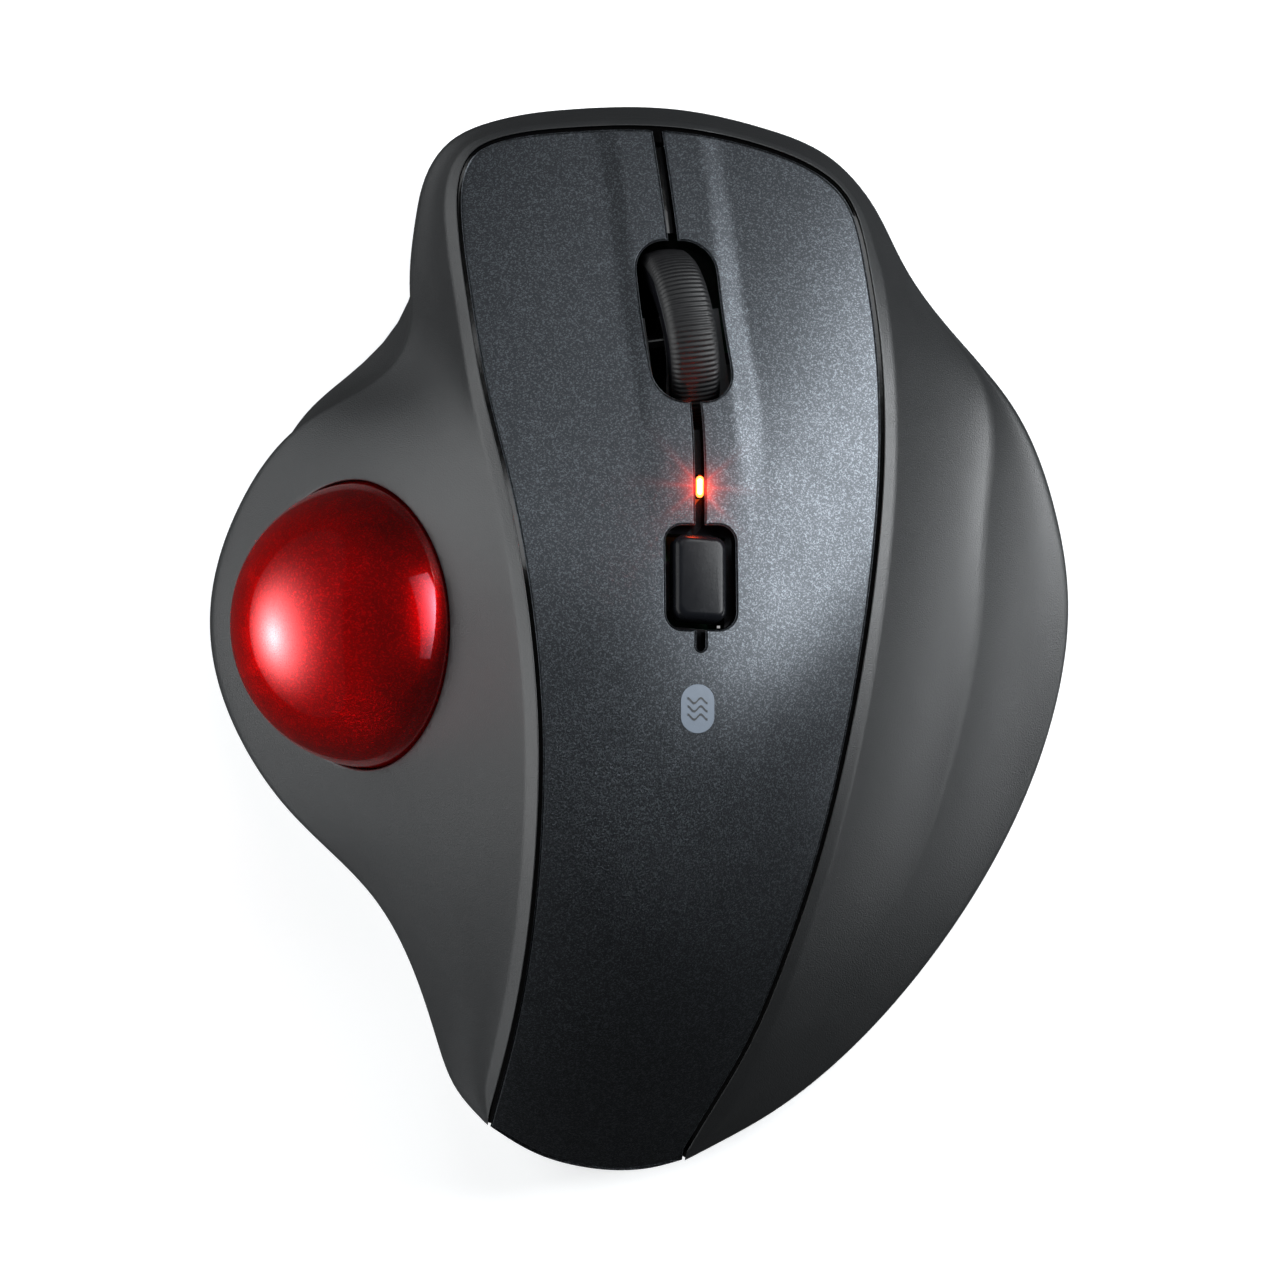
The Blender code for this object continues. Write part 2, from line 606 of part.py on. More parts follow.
def cover(name, loop, finish, skirt=(), sink=0.0):
    """A moulding that follows the panel's height, or a surface sunk below it, inside a plan loop.

    skirt lists the loop's points where the edge turns down into a wall that stands on the base plate.
    """
    loop = np.asarray(loop, float)
    size = len(loop)
    under = loop.copy()
    feet = {}
    for i in skirt:
        way = loop[(i + 1) % size] - loop[i - 1]
        into = np.array([-way[1], way[0]]) / np.linalg.norm(way)
        feet[i] = loop[i] + REAR_INSET * into, loop[i] + (REAR_INSET + WALL) * into
        under[i] = loop[i] + WALL * into
    top_plan, top_faces = filled(loop, PANEL_STEP)
    low_plan, low_faces = filled(under, PANEL_STEP)
    points = [(x, y, z - sink) for (x, y), z in zip(top_plan, panel_height(*top_plan.T))]
    base = len(points)
    points += [(x, y, z - sink - WALL) for (x, y), z in zip(low_plan, panel_height(*low_plan.T))]
    faces = list(top_faces) + [tuple(base + v for v in face[::-1]) for face in low_faces]
    chain = {}
    for i in range(size):
        chain[i] = [i, base + i]
        if i in feet:
            chain[i] = [i, len(points), len(points) + 1, base + i]
            points += [(*feet[i][0], SKIRT_Z), (*feet[i][1], SKIRT_Z)]
    for i in range(size):
        a, b = chain[i], chain[(i + 1) % size]
        if len(a) == len(b):
            faces += [(a[k + 1], b[k + 1], b[k], a[k]) for k in range(len(a) - 1)]
        else:
            faces.append((a[-1], b[-1], b[0], a[0]))
            faces.append(tuple(a) if len(a) == 4 else tuple(b[::-1]))
    obj = new_object(name, facing_out(mesh_from(points, faces)), finish)
    soften(obj)
    return obj


def key(name, side):
    """One key: bounded by the slit and its openings, the flex line and the panel's outline."""
    y_rear = FLEX_Y + FIT / 2
    rim = panel_rim()
    front = int(np.argmin(np.abs(rim[:, 0] - (slit_x(60)[0] + side * SLIT_HALF)) + 1e3 * (rim[:, 1] < 50)))
    outer = rim[:front + 1][::-1] if side < 0 else rim[front:]
    outer = outer[outer[:, 1] > y_rear + 0.2]
    end = (np.interp(y_rear, rim[::side * -1, 1][:150], rim[::side * -1, 0][:150]), y_rear)
    outer = resampled(np.vstack([outer, [end]]), MESH_STEP)
    inner = key_inner_side(side, outer[0, 1] - 0.1, y_rear)
    back = subdivided(np.array([end, inner[-1]]), PANEL_STEP)[1:-1]
    loop = np.vstack([outer[1:], back, inner[::-1]])
    if side > 0:
        loop = loop[::-1]
    return cover(name, loop, PANEL_GREY)


def palm_cover():
    y_front = FLEX_Y - FIT / 2
    rim = panel_rim()
    left = rim[:len(rim) // 2][rim[:len(rim) // 2, 1] < y_front - 0.2]
    right = rim[len(rim) // 2:][rim[len(rim) // 2:, 1] < y_front - 0.2]
    left_end = (np.interp(y_front, rim[:150, 1], rim[:150, 0]), y_front)
    right_end = (np.interp(y_front, rim[:-150:-1, 1], rim[:-150:-1, 0]), y_front)
    down = resampled(np.vstack([[left_end], left[::-1]]), MESH_STEP)
    up = resampled(np.vstack([right[::-1], [right_end]]), MESH_STEP)
    rear = resampled(rear_line(), MESH_STEP)
    front = subdivided(np.array([right_end, left_end]), PANEL_STEP)[1:-1]
    loop = np.vstack([down, rear, up, front])
    return cover("palm_cover", loop, PANEL_GREY, skirt=range(len(down), len(down) + len(rear)))


def post(name, centre, radius, z_low, top, sides=12, finish=None):
    """A post whose top follows a face: top gives its height over a plan point."""
    rim = circle(centre, radius, sides)
    points = [(x, y, z_low) for x, y in rim]
    points += [(x, y, top(x, y)) for x, y in rim]
    points += [(*centre, top(*centre))]
    faces = [tuple(range(sides))[::-1]]
    faces += [(k, (k + 1) % sides, sides + (k + 1) % sides, sides + k) for k in range(sides)]
    faces += [(sides + k, sides + (k + 1) % sides, 2 * sides) for k in range(sides)]
    return new_object(name, facing_out(mesh_from(points, faces)), finish, cutter=finish is None)


def coil(turns, radius, z_low, z_high, centre, per_turn=10, tip=None):
    """Centre line of a coil spring along Z, with its last point at the top."""
    count = int(turns * per_turn)
    line = []
    for k in range(count + 1):
        turn = 2 * math.pi * k / per_turn
        wide = radius + ((radius if tip is None else tip) - radius) * k / count
        line.append((centre[0] + wide * math.cos(turn), centre[1] + wide * math.sin(turn),
                     z_low + (z_high - z_low) * k / count))
    return line


# ---------------------------------------------------------------- the pieces
PARTS = collection("trackball_mouse")
CUTTERS = collection("cutters")

SOFT_GREY = material("soft_grey", (0.13, 0.13, 0.135), 0.6)
PANEL_GREY = material("panel_grey", (0.05, 0.052, 0.055), 0.4, 0.4)
GLOSS_BLACK = material("gloss_black", (0.012, 0.012, 0.014), 0.15)
BASE_BLACK = material("base_black", (0.03, 0.03, 0.032), 0.55)
BALL_RED = material("ball_red", (0.45, 0.01, 0.02), 0.12, 0.5, 1.0)
RUBBER = material("tyre_rubber", (0.02, 0.02, 0.021), 0.7)
PLASTIC_GREY = material("inner_plastic", (0.25, 0.26, 0.27), 0.5)
BOARD_GREEN = material("board_green", (0.03, 0.16, 0.07), 0.4)
CHIP_BLACK = material("chip_black", (0.02, 0.02, 0.02), 0.45)
STEEL = material("steel", (0.6, 0.6, 0.6), 0.3, 1.0)
CERAMIC = material("ceramic_white", (0.85, 0.84, 0.8), 0.2)
LENS_CLEAR = material("lens_clear", (0.8, 0.82, 0.85), 0.05)
LED_RED = material("led_red", (0.8, 0.03, 0.01), 0.3)
PLUNGER_WHITE = material("plunger_white", (0.7, 0.7, 0.68), 0.4)
PAD_GREY = material("pad_grey", (0.28, 0.28, 0.28), 0.35)
CELL_SLEEVE = material("cell_sleeve", (0.12, 0.2, 0.35), 0.3, 0.3)
FLEX_AMBER = material("flex_amber", (0.5, 0.26, 0.06), 0.35)

# Places that several pieces share.
ball = Vector(BALL_CENTRE)
tilt, azimuth = math.radians(BALL_TILT), math.radians(BALL_AZIMUTH)
ball_out = Vector((math.sin(tilt) * math.cos(azimuth), math.sin(tilt) * math.sin(azimuth), math.cos(tilt)))
ball_frame = frame_matrix(BALL_CENTRE, (0, 0, 1), ball_out)

slit_way = Vector((slit_x(WHEEL_PLAN[1] + 5)[0] - slit_x(WHEEL_PLAN[1] - 5)[0], 10, 0)).normalized()
wheel_top = Vector((*WHEEL_PLAN, panel_height(*WHEEL_PLAN)[0]))
wheel_normal = panel_normal(*WHEEL_PLAN)
wheel_centre = wheel_top + (WHEEL_PROUD - WHEEL_RADIUS) * wheel_normal
lean = math.radians(WHEEL_LEAN)
axle_way = (Matrix.Rotation(lean, 3, "Y") @ Vector((1, 0, 0)))
axle_way = (axle_way - slit_way * axle_way.dot(slit_way)).normalized()
wheel_frame = frame_matrix(wheel_centre, axle_way, slit_way.cross(axle_way) * -1)

mode_normal = panel_normal(*MODE_PLAN)
mode_top = Vector((*MODE_PLAN, panel_height(*MODE_PLAN)[0]))
mode_frame = frame_matrix(mode_top, (1, 0, 0), mode_normal)

# The outer mouldings.
housing = side_housing()
BOSSES = {"front_left": (-22.75, 43.0), "front_right": (30.6, 37.0), "rear_right": (21.5, -36.0),
          "rear_left": (-18.0, -36.0), "left": (-34.0, -19.6)}
join(housing, *(post("boss_" + name, at, 1.7, 4.5, lambda x, y: shell_above(x, y) - 0.5 * WALL)
                for name, at in BOSSES.items()))
cut(housing, sphere("ball_opening", BALL_CENTRE, BALL_RADIUS + BALL_CLEARANCE, segments=40, rings=20,
                    cutter=True),
    *(cylinder("boss_hole_" + name, (*at, 6.0), 1.05, 9.0, sides=12, cutter=True)
      for name, at in BOSSES.items()))

keys = {}
for side, name, at in ((-1, "left", (-9.0, 46.0)), (1, "right", (16.5, 44.0))):
    keys[name] = key(name + "_button", side)
    switch_top = BOARD_Z + BOARD_THICK + 0.1 + SWITCH_SIZE[2]
    join(keys[name], post(name + "_key_post", at, 1.7, switch_top + 0.9,
                          lambda x, y: panel_height(x, y)[0] - 0.5 * WALL))
    box(name + "_switch", (*at, switch_top - SWITCH_SIZE[2] / 2), SWITCH_SIZE, CHIP_BLACK)
    cut(bpy.data.objects[name + "_switch"],
        cylinder(name + "_switch_hole", (*at, switch_top), 1.3, 4.2, sides=16, cutter=True))
    cylinder(name + "_switch_plunger", (*at, switch_top - 0.2), 1.1, 2.0, PLUNGER_WHITE, sides=16)
palm_cover()

# The base plate, with its battery bay, bosses and openings.
outline = foot_outline()
base = flat_plate("base_plate", [outline], FOOT_DROP, BASE_TOP, BASE_BLACK)
bx, by, bz = BATTERY_CENTRE
rear_y, front_y = by - BATTERY_LENGTH / 2, by + BATTERY_LENGTH / 2
join(base,
     box("bay_left", (bx - 8.4, by - 0.1, 5.7), (1.2, 55.5, 7.4), cutter=True),
     box("bay_right", (bx + 8.4, by + 1.9, 5.7), (1.2, 51.5, 7.4), cutter=True),
     box("bay_front", (bx, front_y + 3.2, 7.7), (18.0, 1.2, 11.4), cutter=True),
     box("bay_rear", (bx - 1.4, rear_y - 3.0, 5.7), (13.0, 1.2, 7.4), cutter=True),
     *(cylinder("seat_" + name, (*at, 3.1), 2.5, 2.2, sides=16, cutter=True)
       for name, at in BOSSES.items()))

FEET = {"front": ((0.5, 54.6), (24.0, 4.6)), "rear": ((-5.5, -57.4), (15.0, 3.6)),
        "left": ((-42.8, 1.5), (4.6, 17.0)), "right": ((43.6, 0.0), (4.6, 17.0))}
cutters = [box("bay_mouth", (bx, by, 1.6), (15.0, 53.4, 3.0), cutter=True),
           cylinder("eject_mouth", (ball.x, ball.y, 1.6), 5.0, 4.0, cutter=True),
           box("power_mouth", (20.5, 24.0, 1.6), (4.6, 8.6, 3.0), cutter=True),
           cylinder("pairing_mouth", (20.5, 9.0, 1.6), 1.9, 3.0, cutter=True)]
for name, at in BOSSES.items():
    cutters.append(cylinder("head_room_" + name, (*at, 1.4), 2.0, 2.2, sides=16, cutter=True))
    cutters.append(cylinder("screw_room_" + name, (*at, 3.5), 1.05, 3.0, sides=12, cutter=True))
for name, (at, size) in FEET.items():
    foot = rounded_rectangle(at, (size[0] + 0.4, size[1] + 0.4), size[1] * 0.45 if size[0] > size[1]
                             else size[0] * 0.45)
    cutters.append(flat_plate("recess_" + name, [foot], 0.4, 1.3, cutter=True))
cut(base, *cutters)

for name, (at, size) in FEET.items():
    flat_plate("foot_" + name, [rounded_rectangle(at, size, min(size) * 0.42)], 0.0, 1.1, PAD_GREY)
for name, at in BOSSES.items():
    screw = cylinder("screw_" + name, (*at, 1.75), 1.7, 1.2, STEEL, sides=16)
    join(screw, cylinder("shank_" + name, (*at, 6.0), 0.85, 8.0, sides=12, cutter=True))
    cut(screw, box("drive_a_" + name, (*at, 1.2), (2.0, 0.5, 0.9), cutter=True),
        box("drive_b_" + name, (*at, 1.2), (0.5, 2.0, 0.9), cutter=True))

door = flat_plate("battery_door", [rounded_rectangle((bx, by), (14.4, 52.8), 0.6)], FOOT_DROP, 2.1,
                  BASE_BLACK)
cut(door, cylinder("finger_dip", (bx, by + 21.0, -3.6), 5.0, 12.0, axis="X", sides=32, cutter=True))
power = box("power_knob", (20.5, 22.2, 1.9), (3.8, 4.0, 1.7), PLASTIC_GREY)
join(power, box("power_stem", (20.5, 22.2, 3.2), (1.6, 1.6, 1.6), cutter=True))
cut(power, *(box("grip_%d" % k, (20.5, 22.2 + 1.1 * k, 1.0), (3.0, 0.5, 0.5), cutter=True)
             for k in (-1, 0, 1)))
switch_body = box("power_switch", (20.5, 24.0, 5.4), (5.0, 9.4, 4.6), CHIP_BLACK)
cut(switch_body, box("power_track", (20.5, 24.0, 3.6), (2.2, 6.2, 2.0), cutter=True))
turned("pairing_button", ((0, 3.6), (0.9, 3.6), (0.9, 2.4), (1.55, 2.2), (1.55, 1.3), (1.3, 1.1), (0, 1.1)),
       PLASTIC_GREY, (20.5, 9.0, 0), steps=20)
box("pairing_switch", (20.5, 9.0, 6.1), (5.0, 5.0, 3.4), CHIP_BLACK)

# The ball, its cup and what reads it.
sphere("trackball", BALL_CENTRE, BALL_RADIUS, BALL_RED, segments=36, rings=18)
cup = sphere("ball_cup", BALL_CENTRE, 20.2, BASE_BLACK, segments=24, rings=12)
into_sensor = Vector((0.9, 0.2, -0.39)).normalized()
sensor_frame = frame_matrix(BALL_CENTRE, (0, 0, 1), into_sensor)
cut(cup, sphere("cup_inside", BALL_CENTRE, 17.6, segments=32, rings=16, cutter=True),
    box("cup_mouth", (0, 0, 27.8), (60.0, 60.0, 60.0), place=ball_frame, cutter=True),
    cylinder("eject_hole", (ball.x, ball.y, 4.0), 4.6, 8.0, cutter=True),
    cylinder("sensor_window", (0, 0, 19.0), 3.4, 8.0, place=sensor_frame, cutter=True))
down_side = Vector((0, 0, -1)) + ball_out * ball_out.z
for k, turn in enumerate((180, 60, -60), 1):
    way = (Matrix.Rotation(math.radians(turn), 3, ball_out) @ down_side.normalized()) * math.sin(
        math.radians(62)) - ball_out * math.cos(math.radians(62))
    seat = ball + way * (BALL_RADIUS + 1.25)
    sphere("bearing_ball_%d" % k, seat, 1.2, CERAMIC, segments=12, rings=8)
    cut(cup, sphere("bearing_seat_%d" % k, seat, 1.35, segments=12, rings=8, cutter=True))
lens = cylinder("sensor_lens", (0, 0, 19.6), 3.0, 3.6, LENS_CLEAR, place=sensor_frame, sides=24)
cut(lens, sphere("lens_hollow", ball, 18.2, segments=32, rings=16, cutter=True))
box("sensor_chip", (0, 0, 23.0), (8.0, 6.0, 1.8), CHIP_BLACK, place=sensor_frame)
box("sensor_board", (0, 0, 24.9), (12.0, 14.0, 1.2), BOARD_GREEN, place=sensor_frame)

# The main board.
board_loop = ((-14, 22), (-6.5, 22), (-6.5, 5.5), (23.5, 5.5), (23.5, 48), (20, 53), (-12, 54), (-16.5, 48))
main = flat_plate("main_board", [board_loop], BOARD_Z, BOARD_Z + BOARD_THICK, BOARD_GREEN)
box("radio_chip", (14.0, 12.0, 9.9), (5.0, 5.0, 1.0), CHIP_BLACK)
box("controller_chip", (-2.4, 13.0, 10.0), (8.0, 8.0, 1.2), CHIP_BLACK)
STANDOFFS = {"left": (-12.0, 28.0), "right": (21.0, 34.0)}
join(base, *(cylinder("standoff_" + name, (*at, 4.9), 2.2, 5.6, sides=16, cutter=True)
             for name, at in STANDOFFS.items()))
for name, at in STANDOFFS.items():
    cut(base, cylinder("standoff_hole_" + name, (*at, 6.6), 1.15, 4.6, sides=12, cutter=True))
    cut(main, cylinder("board_hole_" + name, (*at, 8.6), 1.3, 3.0, sides=12, cutter=True))
    screw = cylinder("board_screw_" + name, (*at, 10.0), 1.9, 1.0, STEEL, sides=16)
    join(screw, cylinder("board_shank_" + name, (*at, 7.7), 0.95, 5.0, sides=12, cutter=True))

# The scroll wheel on its fork.
half = WHEEL_WIDTH / 2
rim = WHEEL_RADIUS
turned("scroll_tyre", ((rim - 1.4, half), (rim - 0.6, half), (rim, half - 0.7), (rim, 0.7 - half),
                       (rim - 0.6, -half), (rim - 1.4, -half)), RUBBER, place=wheel_frame, steps=40,
       turn=Matrix.Rotation(math.pi / 2, 3, "Y"))
turned("scroll_hub", ((0, 5.6), (1.2, 5.6), (1.2, half), (rim - 1.55, half), (rim - 1.55, -half),
                      (1.2, -half), (1.2, -9.4), (0, -9.4)), GLOSS_BLACK, place=wheel_frame, steps=32,
       turn=Matrix.Rotation(math.pi / 2, 3, "Y"))
fork = box("wheel_fork", (half + 1.6, -6.3, -1.0), (1.8, 19.0, 6.0), PLASTIC_GREY, place=wheel_frame)
join(fork, box("fork_left", (-half - 1.6, -6.3, -1.0), (1.8, 19.0, 6.0), place=wheel_frame, cutter=True),
     box("fork_bridge", (0, -14.8, -1.0), (9.4, 2.0, 6.0), place=wheel_frame, cutter=True))
tab = box("fork_press_tab", (10.5, 31.0, 17.4), (7.0, 3.0, 5.4), cutter=True)
join(fork, tab, box("fork_spring_tab", (-2.6, 23.5, 19.6), (5.4, 3.0, 4.4), cutter=True))
cut(fork, cylinder("axle_hole", (0, 0, 0), 1.28, 16.0, place=wheel_frame, axis="X", cutter=True))
encoder = box("scroll_encoder", (-7.8, 0, -2.7), (4.0, 9.0, 8.8), BOARD_GREEN, place=wheel_frame)
cut(encoder, cylinder("encoder_hole", (-7.8, 0, 0), 1.3, 6.0, place=wheel_frame, axis="X", cutter=True))
wire("wheel_spring", coil(4, 1.5, BOARD_Z + BOARD_THICK + 0.35, 17.1, (-3.0, 23.5)), 0.22, STEEL)
middle = box("middle_switch", (12.6, 31.0, 11.4), (6.0, 6.0, 4.2), CHIP_BLACK)
cut(middle, cylinder("middle_switch_hole", (12.6, 31.0, 13.4), 1.25, 2.0, sides=16, cutter=True))
cylinder("middle_switch_plunger", (12.6, 31.0, 13.8), 1.05, 1.4, PLUNGER_WHITE, sides=16)

# The mode button and what stands under it.
cap = flat_plate("mode_button", [rounded_rectangle((0, 0), MODE_SIZE, 1.4)], -1.9, 0.4, GLOSS_BLACK,
                 place=mode_frame)
edge = cap.modifiers.new("Edge", "BEVEL")
edge.width = 0.5 * MM
edge.segments = 2
edge.limit_method = "ANGLE"
join(cap, cylinder("mode_stem", (0, 0, -2.8), 1.3, 2.6, place=mode_frame, sides=16, cutter=True))
mode_switch = box("mode_switch", (0, 0, -6.9), (6.0, 6.0, 3.4), CHIP_BLACK, place=mode_frame)
cut(mode_switch, cylinder("mode_switch_hole", (0, 0, -5.4), 1.75, 2.0, place=mode_frame, sides=16,
                          cutter=True))
cylinder("mode_switch_plunger", (0, 0, -5.05), 1.5, 1.5, PLUNGER_WHITE, place=mode_frame, sides=16)
box("upper_board", (0, 3.5, -9.5), (10.0, 21.0, 1.2), BOARD_GREEN, place=mode_frame)


def under_upper_board(x, y):
    """Height just below the upper board over a plan point."""
    low = mode_top - 10.4 * mode_normal
    return low.z - ((x - low.x) * mode_normal.x + (y - low.y) * mode_normal.y) / mode_normal.z


riser = post("board_riser", (5.2, 9.6), 3.0, 9.5, under_upper_board, sides=20, finish=PLASTIC_GREY)
cut(riser, cylinder("riser_bore", (5.2, 9.6, 30.0), 2.0, 38.0, sides=16, cutter=True))


def slit_loop(parts):
    """Plan loop about the slit: parts is (y, half width) pairs from front to rear."""
    right = subdivided(np.array([(half_width, y) for y, half_width in parts]), PANEL_STEP)
    x = slit_x(right[:, 1])
    return np.vstack([np.column_stack([x - right[:, 0], right[:, 1]]),
                      np.column_stack([x + right[:, 0], right[:, 1]])[::-1]])


trim = cover("spine_trim", slit_loop(((24.6, 3.0), (16.8, 3.0), (14.8, 5.8), (-0.2, 5.8), (-2.6, 3.0),
                                      (-5.4, 3.0))), GLOSS_BLACK, sink=WALL + 0.7)
cover("front_trim", slit_loop(((58.2, 2.6), (47.9, 2.6))), GLOSS_BLACK, sink=WALL + 1.2)
led_x = slit_x(LED_Y)[0]
led_top = panel_height(led_x, LED_Y)[0]
cut(trim, box("mode_well", (0, 0, -2.5), (7.4, 11.2, 10.0), place=mode_frame, cutter=True),
    box("led_well", (led_x, LED_Y, led_top - 3.0), (1.4, 2.9, 6.0), cutter=True))
flat_plate("led_lens", [rounded_rectangle((led_x, LED_Y), (0.8, 2.3), 0.38)], led_top - 5.0, led_top - 0.4,
           LED_RED)
led_foot = mode_frame.inverted() @ (Vector((led_x, LED_Y, led_top)) * MM) / MM
box("status_led", (led_foot.x, led_foot.y - 0.4, -8.1), (1.6, 2.4, 1.4), CERAMIC, place=mode_frame)

# The cell, its contacts and the leads.
cell = cylinder("battery", (bx, by, bz), BATTERY_RADIUS, BATTERY_LENGTH, CELL_SLEEVE, axis="Y", sides=32)
join(cell, cylinder("cell_nub", (bx, front_y + 0.2, bz), 2.7, 2.0, axis="Y", sides=20, cutter=True))
box("battery_contact", (bx, front_y + 1.95, bz - 0.5), (9.0, 0.5, 9.0), STEEL)
spring_line = [(x, z, y) for x, y, z in coil(3, 3.2, 0, 1.0, (0, 0), tip=2.0)]
wire("battery_spring", [(bx + x, rear_y - 2.25 + 1.85 * z, bz + y) for x, z, y in spring_line], 0.22, STEEL)
wire("lead_positive", [(7.0, front_y + 1.95, 15.7), (8.2, front_y + 2.6, 16.4), (10.0, 3.0, 16.0),
                       (11.5, 4.6, 13.6), (12.0, 6.2, 11.2), (12.0, 7.3, 9.9)], 0.5, BALL_RED)
wire("lead_negative", [(10.4, rear_y - 1.6, 10.3), (12.4, rear_y - 1.4, 10.5), (13.8, rear_y, 9.4),
                       (14.2, rear_y + 4, 6.2), (14.2, rear_y + 8, 5.2), (14.2, 0, 5.2), (15.0, 4.4, 5.8),
                       (15.5, 7.4, 7.2)], 0.5, GLOSS_BLACK)


def ribbon(name, line, y_middle, width, thick, finish):
    """A flat flexible cable whose side view is a line of (x, z) pairs."""
    points = [(x, y_middle + s * width / 2, z) for x, z in line for s in (-1, 1)]
    faces = [(2 * k, 2 * k + 1, 2 * k + 3, 2 * k + 2) for k in range(len(line) - 1)]
    obj = new_object(name, mesh_from(points, faces), finish)
    body = obj.modifiers.new("Body", "SOLIDIFY")
    body.thickness = thick * MM
    return obj


ribbon("sensor_cable", ((-8.6, 11.3), (-8.0, 11.6), (-7.0, 11.5), (-6.3, 10.8), (-5.9, 10.0), (-5.2, 9.55),
                        (-2.0, 9.5)), 7.0, 2.4, 0.15, FLEX_AMBER)
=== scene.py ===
"""Looks of the trackball mouse: smooth mouldings, the wheel, the ball and every material, on the CAD frame.

Lengths in the tables are millimetres, and MM turns them into metres.  +Y is the mouse's front, +X its
right and +Z is up from the desk.
"""

import json
import math

import bmesh
import bpy
import numpy as np
from mathutils import Matrix, Vector
from mathutils.bvhtree import BVHTree
from mathutils.geometry import delaunay_2d_cdt


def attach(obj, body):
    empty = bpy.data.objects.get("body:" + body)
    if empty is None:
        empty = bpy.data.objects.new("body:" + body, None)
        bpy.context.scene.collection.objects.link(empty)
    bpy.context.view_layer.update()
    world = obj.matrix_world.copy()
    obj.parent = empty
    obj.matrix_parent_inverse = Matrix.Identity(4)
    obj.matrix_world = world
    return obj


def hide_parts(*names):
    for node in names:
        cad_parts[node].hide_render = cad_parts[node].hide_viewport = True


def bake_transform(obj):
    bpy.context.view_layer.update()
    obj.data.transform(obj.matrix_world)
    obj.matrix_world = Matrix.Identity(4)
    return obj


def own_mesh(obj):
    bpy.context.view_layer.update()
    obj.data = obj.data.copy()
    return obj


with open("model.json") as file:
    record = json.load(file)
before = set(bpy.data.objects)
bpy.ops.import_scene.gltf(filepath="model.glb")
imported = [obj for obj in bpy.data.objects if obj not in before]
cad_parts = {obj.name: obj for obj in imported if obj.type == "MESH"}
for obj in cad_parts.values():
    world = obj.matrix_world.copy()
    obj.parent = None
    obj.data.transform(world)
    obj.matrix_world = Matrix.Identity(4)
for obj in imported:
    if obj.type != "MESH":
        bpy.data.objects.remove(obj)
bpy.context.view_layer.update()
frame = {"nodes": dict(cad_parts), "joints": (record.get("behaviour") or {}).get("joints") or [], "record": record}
joints = {joint["name"]: joint for joint in frame["joints"]}

MM = 0.001

# ---------------- sizes shared with the CAD model
WALL = 1.6
GAP = 0.5                       # between the housing and the panel
SKIRT_Z = 2.7                   # where the mouldings meet the base
BALL_RADIUS = 17.0
BALL_CENTRE = Vector((-31.3, 1.9, 23.0))
BALL_TILT, BALL_AZIMUTH = 45.0, 188.0
BORE_RADIUS = 17.2
WHEEL_RADIUS, WHEEL_WIDTH = 11.0, 5.8
MODE_PLAN, MODE_SIZE = (7.1, 7.3), (6.4, 10.2)
LED_Y = 17.9
SLIT_HALF = 0.55
SLIT_END_Y = -1.3
SEAM_Y = SLIT_END_Y + SLIT_HALF  # where the key skins pass into the palm skin

# The panel at each y: its left edge's x and z, its right edge's x and z, and the crown between them.
PANEL_SECTIONS = (
    (66, -21.4, 15.4, 24.6, 12.6, 2.6),
    (50, -21.5, 24.4, 26.6, 19.6, 2.8),
    (34, -19.4, 33.2, 28.5, 24.8, 3.0),
    (18, -15.7, 41.2, 28.5, 29.0, 3.2),
    (2, -12.6, 46.6, 26.8, 31.8, 3.4),
    (-14, -11.7, 47.4, 23.9, 32.2, 3.6),
    (-30, -12.5, 42.4, 19.7, 29.2, 3.6),
    (-44, -14.7, 32.4, 14.6, 22.8, 3.4),
    (-56, -17.9, 18.8, 8.2, 13.6, 3.0),
    (-64, -20.4, 7.0, 3.0, 6.0, 2.6),
)
# The low spine along the slit: its height, half its level top and its flank's width, and where it fades.
SPINE_RISE, SPINE_HALF, SPINE_FLANK = 0.7, 4.3, 3.4
SPINE_FADE = (12.0, 30.0)
# The slit's x at each y.
SLIT_LINE = ((-4.0, 7.0), (1.4, 7.1), (13.5, 7.0), (27.8, 6.5), (37.4, 5.0), (46.7, 3.9), (61.5, 1.8))
